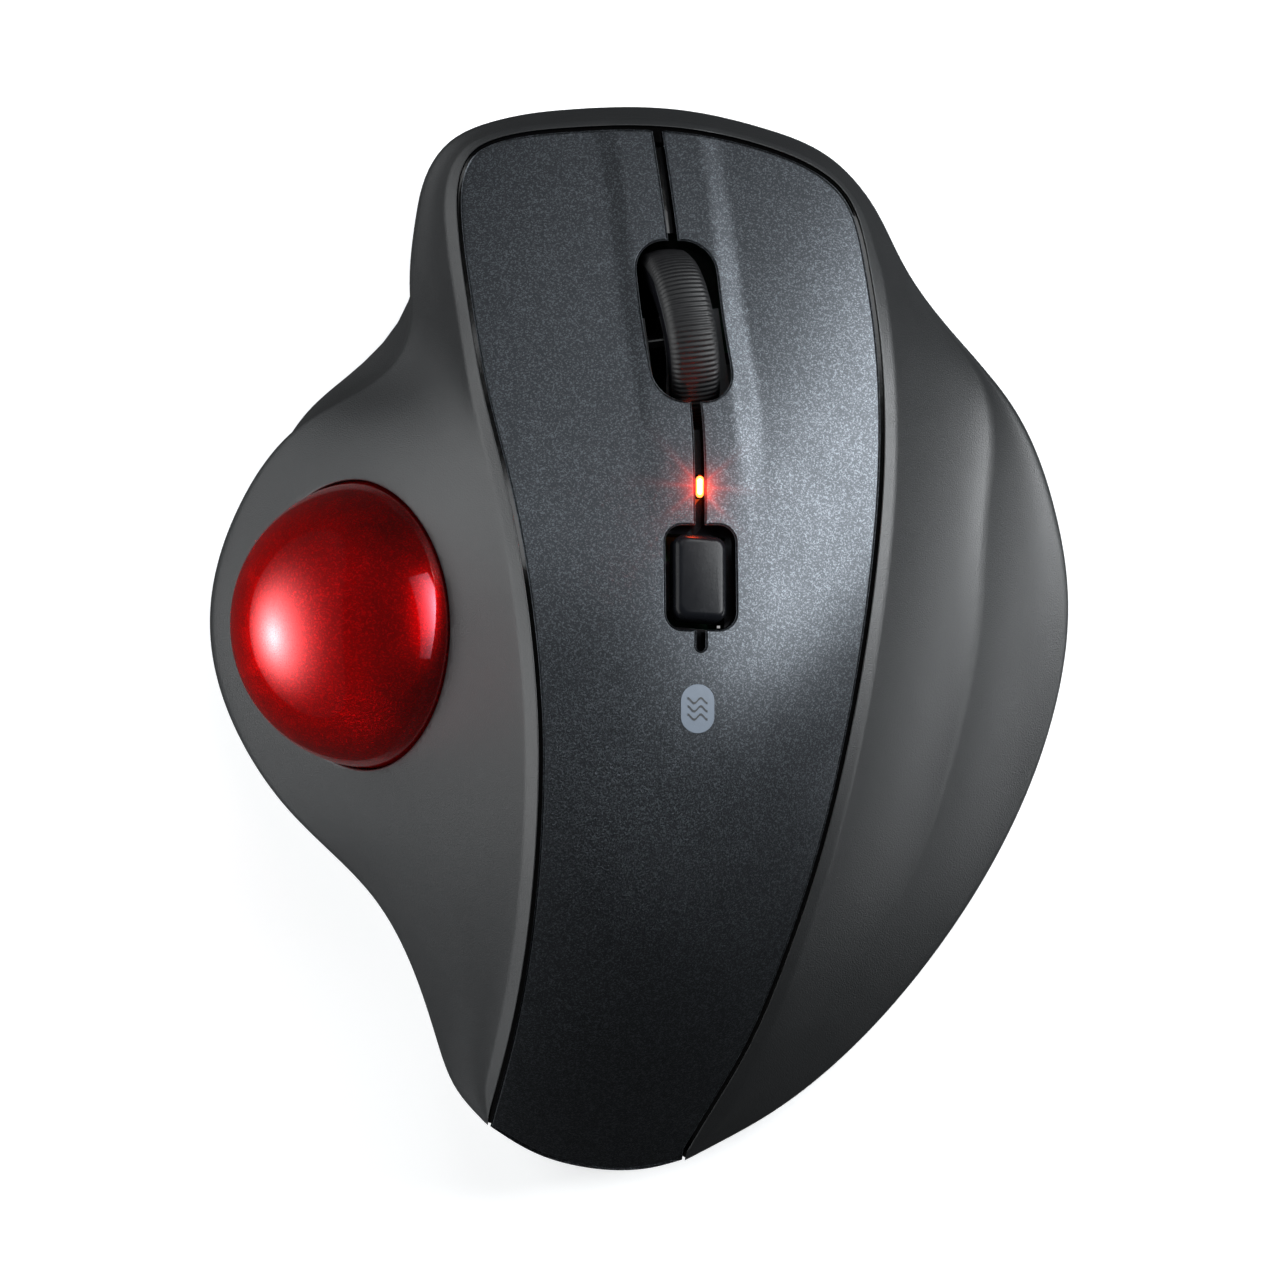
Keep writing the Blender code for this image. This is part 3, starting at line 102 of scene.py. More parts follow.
# The housing's sections, from the rear left round the front: the gap's x and y, the outline's x, y and z,
# the ridge's share of the width, its rise, the sags inside and outside it, its crease, and the foot's inset.
SHELL_SECTIONS = (
    (-17.9, -56.2, -18.5, -57.0, 15.5, 0.5, 0.0, 0.0, 0.0, 0.0, 1.2),
    (-16.6, -51.5, -21.9, -53.2, 11.5, 0.5, 0.6, -0.4, -0.5, 0.0, 1.6),
    (-15.2, -46.0, -24.3, -47.2, 9.6, 0.5, 1.2, -0.5, -0.7, 0.0, 1.8),
    (-12.6, -30.0, -32.0, -30.3, 9.0, 0.5, 1.4, -0.3, -0.3, 0.0, 2.4),
    (-11.8, -18.0, -42.2, -19.8, 9.4, 0.5, 0.8, 0.0, 0.3, 0.0, 2.8),
    (-11.9, -7.5, -49.3, -8.0, 8.6, 0.5, -0.4, 0.0, 0.0, 0.0, 3.0),
    (-13.0, 4.0, -51.2, 3.5, 8.8, 0.5, 0.2, 0.0, 0.0, 0.0, 3.0),
    (-15.0, 15.5, -47.8, 15.6, 11.0, 0.5, 2.0, -0.2, 0.0, 0.0, 2.0),
    (-17.2, 24.5, -39.7, 25.9, 13.6, 0.5, 1.2, 0.2, 0.3, 0.0, -1.0),
    (-18.9, 31.8, -30.0, 32.0, 15.6, 0.5, -0.4, 0.4, 0.4, 0.0, -4.2),
    (-19.7, 36.3, -27.5, 36.3, 15.6, 0.5, -0.3, 0.3, 0.3, 0.0, -2.5),
    (-20.6, 42.0, -27.3, 42.0, 15.4, 0.5, 0.0, 0.0, 0.0, 0.0, 0.2),
    (-21.5, 49.5, -26.6, 50.0, 15.0, 0.5, 0.3, -0.2, -0.2, 0.0, 1.2),
    (-21.3, 54.6, -25.0, 55.9, 14.8, 0.5, 0.3, -0.2, -0.2, 0.0, 1.8),
    (-20.0, 57.4, -22.4, 59.2, 14.8, 0.5, 0.2, -0.1, -0.1, 0.0, 2.2),
    (-16.6, 59.3, -17.3, 61.5, 14.8, 0.5, 0.2, -0.1, -0.1, 0.0, 2.4),
    (-8.0, 60.5, -8.2, 62.9, 14.8, 0.5, 0.2, -0.1, -0.1, 0.0, 2.6),
    (4.0, 60.5, 4.3, 62.9, 14.4, 0.5, 0.2, -0.1, -0.1, 0.0, 2.6),
    (14.5, 58.4, 15.3, 60.5, 13.8, 0.5, 0.2, -0.1, -0.1, 0.0, 2.4),
    (21.8, 55.1, 23.1, 56.8, 13.2, 0.52, 0.2, -0.1, -0.1, 0.0, 2.0),
    (25.0, 51.6, 27.4, 52.0, 12.6, 0.58, 0.1, 0.0, 0.0, 0.0, 1.6),
    (26.9, 45.0, 31.2, 44.8, 11.2, 0.72, -0.2, 0.4, 0.1, 0.1, 1.0),
    (28.2, 36.0, 37.6, 36.1, 8.2, 0.93, -0.2, 1.2, 0.2, 0.5, 0.9),
    (28.7, 28.0, 44.3, 28.1, 6.4, 0.82, 0.2, 1.9, 0.6, 1.0, 1.0),
    (28.4, 16.0, 49.6, 15.4, 5.6, 0.60, -0.6, 2.2, 1.4, 1.0, 1.2),
    (27.0, 3.0, 51.2, 3.0, 5.4, 0.545, -1.0, 2.2, 1.8, 1.0, 1.4),
    (24.6, -11.0, 48.6, -11.8, 5.4, 0.54, -0.9, 2.0, 1.6, 1.0, 1.5),
    (21.0, -26.0, 41.9, -27.1, 5.6, 0.56, -0.3, 1.2, 0.8, 0.6, 1.6),
    (17.2, -37.5, 34.3, -38.5, 6.0, 0.55, 0.4, 0.3, 0.1, 0.0, 1.6),
    (13.0, -47.7, 25.0, -48.9, 6.6, 0.52, 0.8, -0.3, -0.3, 0.0, 1.6),
    (8.8, -55.2, 15.2, -56.6, 7.4, 0.5, 0.6, -0.3, -0.3, 0.0, 1.4),
    (5.6, -60.7, 5.9, -61.6, 8.2, 0.5, 0.0, 0.0, 0.0, 0.0, 1.2),
)
LIP_WIDTH, LIP_SHARE, LIP_PROUD = 1.5, 0.3, 0.3
# The palm cover's rear outline, from left to right.
REAR_EDGE = ((-17.7, -57.5), (-12.2, -60.9), (-7.0, -62.5), (-2.5, -63.0), (1.5, -62.7), (5.0, -61.8))
REAR_INSET = 1.2                # how far the rear wall leans in at the foot
WHEEL_SLOT = dict(y0=37.4, half_length=9.5, half_width=4.7, radius=3.7)
MODE_SLOT = dict(y0=7.3, half_length=6.1, half_width=4.1, radius=2.0)

# ---------------- sizes of the finer shapes
LIP_ROUND = 0.22                # radius of the lip's edge at the gap
LIP_OUTER_ROUND = 0.45
RIDGE_ROUND = 0.9
OUTLINE_ROUND = 1.1
SKIN_ROUND = 0.28               # radius of the panel's edges
REAR_ROUND = 0.6
OPENING_ROUND = 0.45            # radius of the ball opening's rim
REAR_CLOSING = 0.65             # how far the housing's two rear ends reach towards the palm cover
REAR_CORNER = 3.0               # the stretch over which a rear corner's edge grows to its full radius
TOP_STEP, UNDER_STEP = 0.9, 2.5   # between the points that fill a skin's top and its underside
EDGE_STEP, SEAM_STEP = 0.7, 0.8   # between the points of a skin's free edges and of its seams
LEDGE_DROP, LEDGE_THICK, LEDGE_WIDTH, LEDGE_REACH = 2.7, 0.8, 1.3, 0.9
RIBS, RIB_HEIGHT = 108, 0.13    # on the wheel's tread
RIB_POINTS = 6                  # round the tread for each rib
SPRING_FOOT, SPRING_TOP, SPRING_WIRE = 9.55, 17.1, 0.22
BADGE_AT = (6.7, -8.0)


# ---------------- curves and surfaces
def cubic(knots, values, at):
    """Natural cubic spline through one row of values for each rising knot, read at the places given."""
    knots = np.asarray(knots, float)
    rows = np.asarray(values, float).reshape(len(knots), -1)
    at = np.atleast_1d(np.asarray(at, float))
    step = np.diff(knots)
    slope = np.diff(rows, axis=0) / step[:, None]
    system = np.eye(len(knots))
    wanted = np.zeros_like(rows)
    for i in range(1, len(knots) - 1):
        system[i, i - 1:i + 2] = step[i - 1], 2 * (step[i - 1] + step[i]), step[i]
        wanted[i] = 6 * (slope[i] - slope[i - 1])
    bend = np.linalg.solve(system, wanted)
    i = np.clip(np.searchsorted(knots, at) - 1, 0, len(step) - 1)
    h = step[i][:, None]
    a = (knots[i + 1] - at)[:, None] / h
    b = 1 - a
    return a * rows[i] + b * rows[i + 1] + ((a**3 - a) * bend[i] + (b**3 - b) * bend[i + 1]) * h * h / 6


def smooth_step(t):
    """Rises from 0 to 1 with no slope at either end."""
    t = np.clip(t, 0, 1)
    return t * t * (3 - 2 * t)


def along(points):
    """Distance along a chain of points, from 0."""
    steps = np.linalg.norm(np.diff(points, axis=0), axis=1)
    return np.concatenate([[0], np.cumsum(steps)])


def read_at(points, places):
    """The chain's points at distances along it."""
    place = along(points)
    return np.stack([np.interp(places, place, points[:, k]) for k in range(points.shape[1])], axis=1)


def resampled(points, step):
    """The open chain with evenly spaced points, about a step apart."""
    points = np.asarray(points, float)
    length = along(points)[-1]
    return read_at(points, np.linspace(0, length, max(2, int(round(length / step)) + 1)))


def subdivided(points, most):
    """The open chain with points added wherever two stand further apart than the most."""
    chain = [points[0]]
    for a, b in zip(points[:-1], points[1:]):
        count = max(1, math.ceil(np.linalg.norm(np.subtract(b, a)) / most - 1e-6))
        chain += [a + (np.subtract(b, a)) * k / count for k in range(1, count + 1)]
    return np.array(chain)


def sideways(points, closed=False):
    """Unit plan vectors to the left of a chain, at each of its points."""
    if closed:
        ways = np.roll(points, -1, 0) - np.roll(points, 1, 0)
    else:
        ways = np.gradient(points, axis=0)
    ways /= np.linalg.norm(ways, axis=1)[:, None]
    return np.stack([-ways[:, 1], ways[:, 0]], axis=1)


def slit_x(y):
    """The slit line's x at the places given."""
    table = np.array(SLIT_LINE)
    return cubic(table[:, 0], table[:, 1], y)[:, 0]


def panel_height(x, y):
    """Height of the centre panel's top face."""
    x, y = np.atleast_1d(x).astype(float), np.atleast_1d(y).astype(float)
    table = np.array(PANEL_SECTIONS[::-1], float)
    left_x, left_z, right_x, right_z, crown = cubic(table[:, 0], table[:, 1:], y).T
    share = (x - left_x) / (right_x - left_x)
    off = np.abs(x - slit_x(y))
    flank = smooth_step((SPINE_HALF + SPINE_FLANK - off) / SPINE_FLANK)
    fade = smooth_step((y - SPINE_FADE[0]) / (SPINE_FADE[1] - SPINE_FADE[0]))
    return left_z + (right_z - left_z) * share + 4 * crown * share * (1 - share) + SPINE_RISE * flank * fade


def panel_normals(x, y, d=0.25):
    """Unit normals of the panel's top face."""
    slope_x = (panel_height(x + d, y) - panel_height(x - d, y)) / (2 * d)
    slope_y = (panel_height(x, y + d) - panel_height(x, y - d)) / (2 * d)
    normals = np.stack([-slope_x, -slope_y, np.ones_like(slope_x)], axis=1)
    return normals / np.linalg.norm(normals, axis=1)[:, None]


def shell_stations(count):
    """The housing's section table read at evenly spaced places."""
    table = np.array(SHELL_SECTIONS, float)
    knots = (along(table[:, 0:2]) + along(table[:, 2:4])) / 2
    return cubic(knots, table, np.linspace(0, knots[-1], count))


def shell_curves(row, steps=24):
    """A housing section as four stretches of (reach, height): lip, inner, outer and wall."""
    inner, outer, edge_z = row[0:2], row[2:4], row[4]
    share, rise, sag_in, sag_out, crease, inset = row[5:]
    reach = np.linalg.norm(outer - inner)
    inner_z = panel_height(*inner)[0] + LIP_PROUD
    lip = min(LIP_WIDTH, LIP_SHARE * reach)
    lip_z = inner_z - 0.5 * lip * (inner_z - edge_z) / reach
    middle = share * reach
    middle_z = inner_z + (edge_z - inner_z) * share + rise
    t = np.linspace(0, 1, steps + 1)

    def stretch(x0, z0, x1, z1, start, end):
        height = (z0 * (2 * t**3 - 3 * t**2 + 1) + z1 * (3 * t**2 - 2 * t**3)
                  + start * (x1 - x0) * (t**3 - 2 * t**2 + t) + end * (x1 - x0) * (t**3 - t**2))
        return np.column_stack([x0 + (x1 - x0) * t, height])

    first, second = middle - lip, reach - middle
    slope_in = (middle_z - lip_z) / first
    slope_out = (edge_z - middle_z) / second
    own_in = slope_in + 4 * sag_in / first
    own_out = slope_out - 4 * sag_out / second
    shared = (own_in + own_out) / 2
    a = stretch(lip, lip_z, middle, middle_z, slope_in - 4 * sag_in / first,
                crease * own_in + (1 - crease) * shared)
    b = stretch(middle, middle_z, reach, edge_z, crease * own_out + (1 - crease) * shared,
                slope_out + 4 * sag_out / second)
    wall = np.column_stack([reach - inset * t + inset * t * (1 - t), edge_z + (SKIRT_Z - edge_z) * t])
    return np.array([[0, inner_z], [lip, lip_z]]), a, b, wall


def rounded_chain(stretches, counts, radii, corner_steps):
    """Joins stretches end to end with rounded corners, as a fixed number of points."""
    lengths = [along(s)[-1] for s in stretches]
    kept = [min(r, 0.45 * lengths[k], 0.45 * lengths[k + 1]) for k, r in enumerate(radii)]
    points = []
    for k, stretch in enumerate(stretches):
        start = kept[k - 1] if k else 0
        end = lengths[k] - (kept[k] if k < len(radii) else 0)
        points.append(read_at(stretch, np.linspace(start, end, counts[k])))
        if k < len(radii):
            corner = stretch[-1]
            after = read_at(stretches[k + 1], [kept[k]])[0]
            t = np.linspace(0, 1, corner_steps + 2)[1:-1, None]
            points.append((1 - t)**2 * points[-1][-1] + 2 * t * (1 - t) * corner + t**2 * after)
    return np.vstack(points)


def wall_inside(profile):
    """Inner points of a housing section, one wall inside, from the gap to the foot."""
    ahead = np.diff(profile, axis=0)
    ahead /= np.linalg.norm(ahead, axis=1)[:, None]
    into = np.stack([ahead[:, 1], -ahead[:, 0]], axis=1)
    before = np.vstack([into[:1], into])
    after = np.vstack([into, into[-1:]])
    mitre = (before + after) / np.maximum(1 + (before * after).sum(1), 0.6)[:, None]
    reach = profile[:, 0]
    near = np.clip(1 - reach / (3 * WALL), 0, 1)[:, None]
    near[np.argmax(reach):] = 0
    inner = profile + WALL * (near * np.array([0, -1.0]) + (1 - near) * mitre)
    top = profile[0, 1] - 2 * WALL
    inner[:, 0] = np.where(inner[:, 1] > top, np.maximum(inner[:, 0], 0), inner[:, 0])
    inner[-1] = profile[-1] - (WALL, 0)
    return inner


def panel_rim(count=900):
    """Plan outline of the panel's edge from the rear left seam round the front to the rear right."""
    line = shell_stations(count)[:, 0:2]
    return line - GAP * sideways(line)


def opening_side(y0, half_length, half_width, radius):
    """One side of a rounded opening on the slit, as (distance from the slit line, y), front to rear."""
    turn = np.radians(np.linspace(0, 90, 13))
    across = half_width - radius + radius * np.sin(turn)
    front = np.stack([across, y0 + half_length - radius + radius * np.cos(turn)], axis=1)
    rear = np.stack([across, y0 - half_length + radius - radius * np.cos(turn)], axis=1)[::-1]
    return np.vstack([[(SLIT_HALF, y0 + half_length)], front, rear, [(SLIT_HALF, y0 - half_length)]])


def inside(points, loop):
    """Which plan points lie inside the loop."""
    x, y = points[:, 0:1], points[:, 1:2]
    x0, y0 = loop[None, :, 0], loop[None, :, 1]
    x1, y1 = np.roll(x0, -1, 1), np.roll(y0, -1, 1)
    crosses = (y0 > y) != (y1 > y)
    climb = np.where(y1 == y0, 1.0, y1 - y0)
    return (crosses & (x < x0 + (y - y0) * (x1 - x0) / climb)).sum(1) % 2 == 1


def filled(loop, step):
    """Plan points and triangles that fill a counter-clockwise loop. The loop's points come first."""
    low, high = loop.min(0), loop.max(0)
    grid = np.stack(np.meshgrid(np.arange(low[0] + step / 3, high[0], step),
                                np.arange(low[1] + step / 3, high[1], step * 0.87)), axis=-1)
    grid[1::2, :, 0] += step / 2
    grid = grid.reshape(-1, 2)
    grid = grid[inside(grid, loop)]
    clear = np.concatenate([np.linalg.norm(part[:, None] - loop[None], axis=2).min(1)
                            for part in np.array_split(grid, 1 + len(grid) // 500)])
    points = np.vstack([loop, grid[clear > 0.6 * step]])
    made = delaunay_2d_cdt([Vector(p) for p in points], [], [list(range(len(loop)))], 1, 1e-6)
    back = {new: old[0] for new, old in enumerate(made[3]) if old}
    return points, [tuple(back[v] for v in face) for face in made[2]]


# ---------------- meshes and objects
def mesh_from(points, faces, recalculate=True):
    """A mesh from points in millimetres."""
    mesh = bpy.data.meshes.new("mesh")
    mesh.from_pydata([tuple(float(c) * MM for c in p) for p in points], [], faces)
    if recalculate:
        bm = bmesh.new()
        bm.from_mesh(mesh)
        bmesh.ops.recalc_face_normals(bm, faces=bm.faces)
        bm.to_mesh(mesh)
        bm.free()
    mesh.update()
    return mesh


def placed(name, data):
    """A new object in the scene."""
    obj = bpy.data.objects.new(name, data)
    bpy.context.scene.collection.objects.link(obj)
    return obj


def piece(name, mesh, material, body, stands_for=(), place=None, smooth_angle=32):
    """Puts a mesh in the scene as a piece that rides a body."""
    obj = placed(name, mesh)
    mesh.materials.clear()
    mesh.materials.append(material)
    if place is not None:
        obj.matrix_world = place
    mesh.shade_smooth()
    if smooth_angle:
        mesh.set_sharp_from_angle(angle=math.radians(smooth_angle))
    if body:
        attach(obj, body)
    if stands_for:
        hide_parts(*stands_for)
    return obj


def frame_matrix(origin, x_axis, z_axis):
    """Place of a tilted group: its origin in millimetres and two of its axes."""
    z = Vector(z_axis).normalized()
    x = (Vector(x_axis) - z * Vector(x_axis).dot(z)).normalized()
    turn = Matrix((x, z.cross(x), z)).transposed().to_4x4()
    return Matrix.Translation(Vector(origin) * MM) @ turn


def level(plan, z):
    """Plan points at one height."""
    return np.column_stack([plan, np.full(len(plan), z)])


def ring_faces(rings, size, open_rings=False, all_round=False):
    """Quads between rings of points listed one after another. all_round joins the last ring to the first."""
    last = size - 1 if open_rings else size
    pairs = [(r * size, (r + 1) % rings * size) for r in range(rings if all_round else rings - 1)]
    return [(a + k, a + (k + 1) % size, b + (k + 1) % size, b + k) for a, b in pairs for k in range(last)]


def tube_faces(rings, size):
    """Quads between closed rings of points, with a face over the first ring and the last."""
    last = range(rings * size - 1, (rings - 1) * size - 1, -1)
    return ring_faces(rings, size) + [tuple(range(size)), tuple(last)]


def rounded_rectangle(width, length, radius, steps=8):
    """Counter-clockwise loop about the origin."""
    loop = []
    for k, (sx, sy) in enumerate(((1, 1), (-1, 1), (-1, -1), (1, -1))):
        for turn in np.radians(np.linspace(90 * k, 90 * k + 90, steps + 1)):
            loop.append((sx * (width / 2 - radius) + radius * math.cos(turn),
                         sy * (length / 2 - radius) + radius * math.sin(turn)))
    return np.array(loop)


# ---------------- materials
NOISE_RANGE = (0.25, 0.75)      # where most of a noise's values lie
SPARKLE_RANGE = (0.55, 1.0)     # the flakes that catch the light
WORN_RANGE = (0.52, 0.6)        # how pointed an edge is before it shows wear


def fill(tree, node, inputs):
    """Gives a node's inputs their values, or links them to other nodes' outputs."""
    for key, value in inputs.items():
        if isinstance(value, bpy.types.NodeSocket):
            tree.links.new(value, node.inputs[key])
        else:
            node.inputs[key].default_value = value


def add_node(tree, kind, inputs=None, **settings):
    """A new shader node with its settings and inputs."""
    node = tree.nodes.new("ShaderNode" + kind)
    for name, value in settings.items():
        setattr(node, name, value)
    fill(tree, node, inputs or {})
    return node


def maths(tree, operation, a, b=0.0):
    """The result of a maths node."""
    return add_node(tree, "Math", {0: a, 1: b}, operation=operation).outputs["Value"]


def stretched(tree, place, scale, shift):
    """A vector scaled and then shifted."""
    inputs = {0: place, 1: scale, 2: shift}
    return add_node(tree, "VectorMath", inputs, operation="MULTIPLY_ADD").outputs["Vector"]


def length_of(tree, vector):
    """A vector's length."""
    return add_node(tree, "VectorMath", {0: vector}, operation="LENGTH").outputs["Value"]


def finish(name, colour, roughness, metallic=0.0, coat=0.0, coat_roughness=0.05, grain=0.2, bump=0.1,
           mottle=0.12, patches=6.0, roughness_swing=0.06, sparkle=0.0, emission=None, transmission=0.0,
           wear=0.0, coat_ior=1.5, specular=0.5, tint=(1, 1, 1)):
    """A surface with fine grain, slow colour change and, where asked, sparkle or edge wear.

    grain and patches are the sizes of the fine bump and of the colour patches, in millimetres.
    """
    made = bpy.data.materials.new(name)
    made.use_nodes = True
    tree = made.node_tree
    place = add_node(tree, "TexCoord").outputs["Object"]

    def noise(size, detail=2.0):
        made_noise = add_node(tree, "TexNoise", {"Scale": 1 / (size * MM), "Detail": detail, "Vector": place})
        return made_noise.outputs["Fac"]

    def ranged(value, start, end, low=0.0, high=1.0):
        inputs = {"Value": value, "From Min": start, "From Max": end, "To Min": low, "To Max": high}
        return add_node(tree, "MapRange", inputs).outputs["Result"]

    def spread(value, low, high):
        return ranged(value, *NOISE_RANGE, low, high)

    def mixed(factor, a, b):
        return add_node(tree, "Mix", {"Factor": factor, "A": a, "B": b}, data_type="RGBA").outputs["Result"]

    def shade_of(scale, added=0.0):
        return tuple(min(1.0, c * scale + added) for c in colour) + (1.0,)

    dark, light = shade_of(1 - mottle), tuple(c * (1 + mottle) for c in colour) + (1.0,)
    shade = mixed(spread(noise(patches, 3.0), 0.0, 1.0), dark, light)
    fine = noise(grain)
    shade = mixed(spread(fine, 0.0, 0.5), shade, light)
    height = fine
    if sparkle:
        cells = add_node(tree, "TexVoronoi", {"Scale": 1 / (grain * MM), "Vector": place})
        split = add_node(tree, "SeparateColor", {"Color": cells.outputs["Color"]})
        shade = mixed(ranged(split.outputs["Red"], *SPARKLE_RANGE), shade, shade_of(1 + sparkle))
        height = split.outputs["Green"]
    if wear:
        edges = add_node(tree, "NewGeometry").outputs["Pointiness"]
        shade = mixed(ranged(edges, *WORN_RANGE, 0.0, wear), shade, shade_of(1.8, 0.02))
    rough = spread(noise(patches * 0.4), roughness - roughness_swing, roughness + roughness_swing)
    lift = add_node(tree, "Bump", {"Strength": bump, "Distance": grain * MM * 0.5, "Height": height})
    inputs = {
        "Metallic": metallic, "Coat Weight": coat, "Coat Roughness": coat_roughness, "Coat IOR": coat_ior,
        "Specular IOR Level": specular, "Specular Tint": (*tint, 1), "Transmission Weight": transmission,
        "Base Color": shade, "Roughness": rough, "Normal": lift.outputs["Normal"],
    }
    if emission:
        hue, strength = emission
        inputs.update({"Emission Color": (*hue, 1), "Emission Strength": strength})
    fill(tree, tree.nodes["Principled BSDF"], inputs)
    made.diffuse_color = (*colour, 1)
    return made


SOFT_TOUCH = finish("soft_touch_grey", (0.0100, 0.0107, 0.0114), 0.46, specular=0.62, grain=0.17, bump=0.6,
                    mottle=0.02, patches=14, roughness_swing=0.02)
# Its emission later carries a painted red glow round the indicator.
PANEL_PAINT = finish("panel_paint", (0.030, 0.033, 0.037), 0.37, metallic=0.85, grain=0.14, bump=0.45,
                     mottle=0.03, patches=12, sparkle=1.7, roughness_swing=0.02)
GLOSS_BLACK = finish("gloss_black", (0.004, 0.004, 0.005), 0.1, coat=0.4, grain=0.5, bump=0.02, mottle=0.2,
                     patches=3, roughness_swing=0.03)
BALL_PAINT = finish("ball_paint", (0.48, 0.0005, 0.0014), 0.34, metallic=1.0, tint=(1.0, 0.1, 0.1),
                    coat=1.0, coat_roughness=0.05, coat_ior=1.7, grain=0.17, bump=0.7, mottle=0.08,
                    patches=4, sparkle=0.8, roughness_swing=0.03)
TYRE_RUBBER = finish("tyre_rubber", (0.004, 0.004, 0.0045), 0.5, specular=0.35, grain=0.08, bump=0.3,
                     mottle=0.15, patches=2)
STEEL = finish("plated_steel", (0.58, 0.58, 0.6), 0.28, metallic=1.0, grain=0.1, bump=0.15, mottle=0.1,
               patches=1.5, wear=0.3)
BUTTON_BLACK = finish("button_black", (0.005, 0.0055, 0.007), 0.26, specular=0.12, grain=0.3, bump=0.04,
                      mottle=0.05, patches=3, roughness_swing=0.02)
LED_GLOW = finish("led_glow", (0.9, 0.08, 0.02), 0.3, grain=0.15, bump=0.05,
                  emission=((1.0, 0.10, 0.02), 9.0))
LED_CORE = finish("led_core", (1.0, 0.7, 0.2), 0.3, grain=0.15, bump=0.05,
                  emission=((1.0, 0.62, 0.18), 26.0))
BADGE = finish("badge_print", (0.11, 0.135, 0.17), 0.5, grain=0.1, bump=0.15, mottle=0.06, patches=1.0)
BADGE_DARK = finish("badge_dark", (0.018, 0.02, 0.023), 0.5, grain=0.1, bump=0.15, mottle=0.06, patches=1.0)

SLOT_FINISH = {
    "soft_grey": SOFT_TOUCH, "panel_grey": PANEL_PAINT, "gloss_black": GLOSS_BLACK, "ball_red": BALL_PAINT,
    "tyre_rubber": TYRE_RUBBER, "steel": STEEL, "led_red": LED_GLOW,
    "base_black": finish("base_plastic", (0.014, 0.014, 0.015), 0.5, grain=0.25, bump=0.5, mottle=0.1),
    "inner_plastic": finish("inner_plastic", (0.24, 0.25, 0.26), 0.5, grain=0.3, bump=0.2),
    "board_green": finish("board_mask", (0.02, 0.12, 0.05), 0.35, coat=0.4, grain=0.4, bump=0.25,
                          mottle=0.3, patches=2.5),
    "chip_black": finish("chip_resin", (0.02, 0.02, 0.021), 0.5, grain=0.1, bump=0.4, mottle=0.2, patches=2),
    "ceramic_white": finish("ceramic", (0.82, 0.81, 0.77), 0.12, coat=0.5, bump=0.03, mottle=0.04),
    "lens_clear": finish("lens_clear", (0.85, 0.87, 0.9), 0.06, grain=0.3, bump=0.02, mottle=0.02,
                         transmission=0.9),
    "plunger_white": finish("plunger_plastic", (0.68, 0.68, 0.65), 0.4, grain=0.15, mottle=0.05),
    "pad_grey": finish("glide_pad", (0.2, 0.2, 0.205), 0.3, mottle=0.08, wear=0.3),
    "cell_sleeve": finish("cell_sleeve", (0.10, 0.17, 0.32), 0.28, metallic=0.3, coat=0.5, grain=0.3,
                          bump=0.05),
    "lead_red": finish("lead_red", (0.4, 0.02, 0.02), 0.45, grain=0.15, bump=0.15),
    "lead_black": finish("lead_black", (0.02, 0.02, 0.02), 0.45, grain=0.15, bump=0.15),
    "flex_amber": finish("flex_film", (0.5, 0.26, 0.06), 0.3, coat=0.3, grain=0.3),
}
for entry in frame["record"]["subparts"]:
    node = frame["nodes"][entry["node"]]
    node.data.materials.clear()
    node.data.materials.append(SLOT_FINISH[entry["material_slot"]])


# ---------------- the housing
ball_out = Vector((math.sin(math.radians(BALL_TILT)) * math.cos(math.radians(BALL_AZIMUTH)),
                   math.sin(math.radians(BALL_TILT)) * math.sin(math.radians(BALL_AZIMUTH)),
                   math.cos(math.radians(BALL_TILT))))


def housing():
    """The grey upper housing, with a rounded lip, ridge and outline; the ball opening is cut from it afterwards.
    """
    rows = shell_stations(330)
    rings, reaches = [], []
    for row in rows:
        lip, inner, outer, wall = shell_curves(row)
        drop = np.array([lip[0] - (0, WALL), lip[0]])
        outside = rounded_chain([drop, lip, inner, outer, wall], [2, 4, 24, 20, 8],
                                [LIP_ROUND, LIP_OUTER_ROUND, RIDGE_ROUND * row[9], OUTLINE_ROUND], 5)
        coarse = np.vstack([lip, inner[6::6], outer[8::8], wall[12::12]])
        ring = np.vstack([outside, wall_inside(coarse)[:0:-1]])
        way = (row[2:4] - row[0:2]) / np.linalg.norm(row[2:4] - row[0:2])
        rings.append(np.column_stack([row[0:2] + ring[:, :1] * way, ring[:, 1]]))
        reaches.append(ring[:, :1] / ring[:, 0].max())
    for end, before in ((0, 1), (-1, -2)):
        onward = rows[end][2:4] - rows[before][2:4]
        onward = REAR_CLOSING * onward / np.linalg.norm(onward)
        closing = rings[end] + np.column_stack([reaches[end] * onward, np.zeros(len(rings[end]))])
        rings.insert(0 if end == 0 else len(rings), closing)
    return mesh_from(np.vstack(rings), tube_faces(len(rings), len(rings[0])))


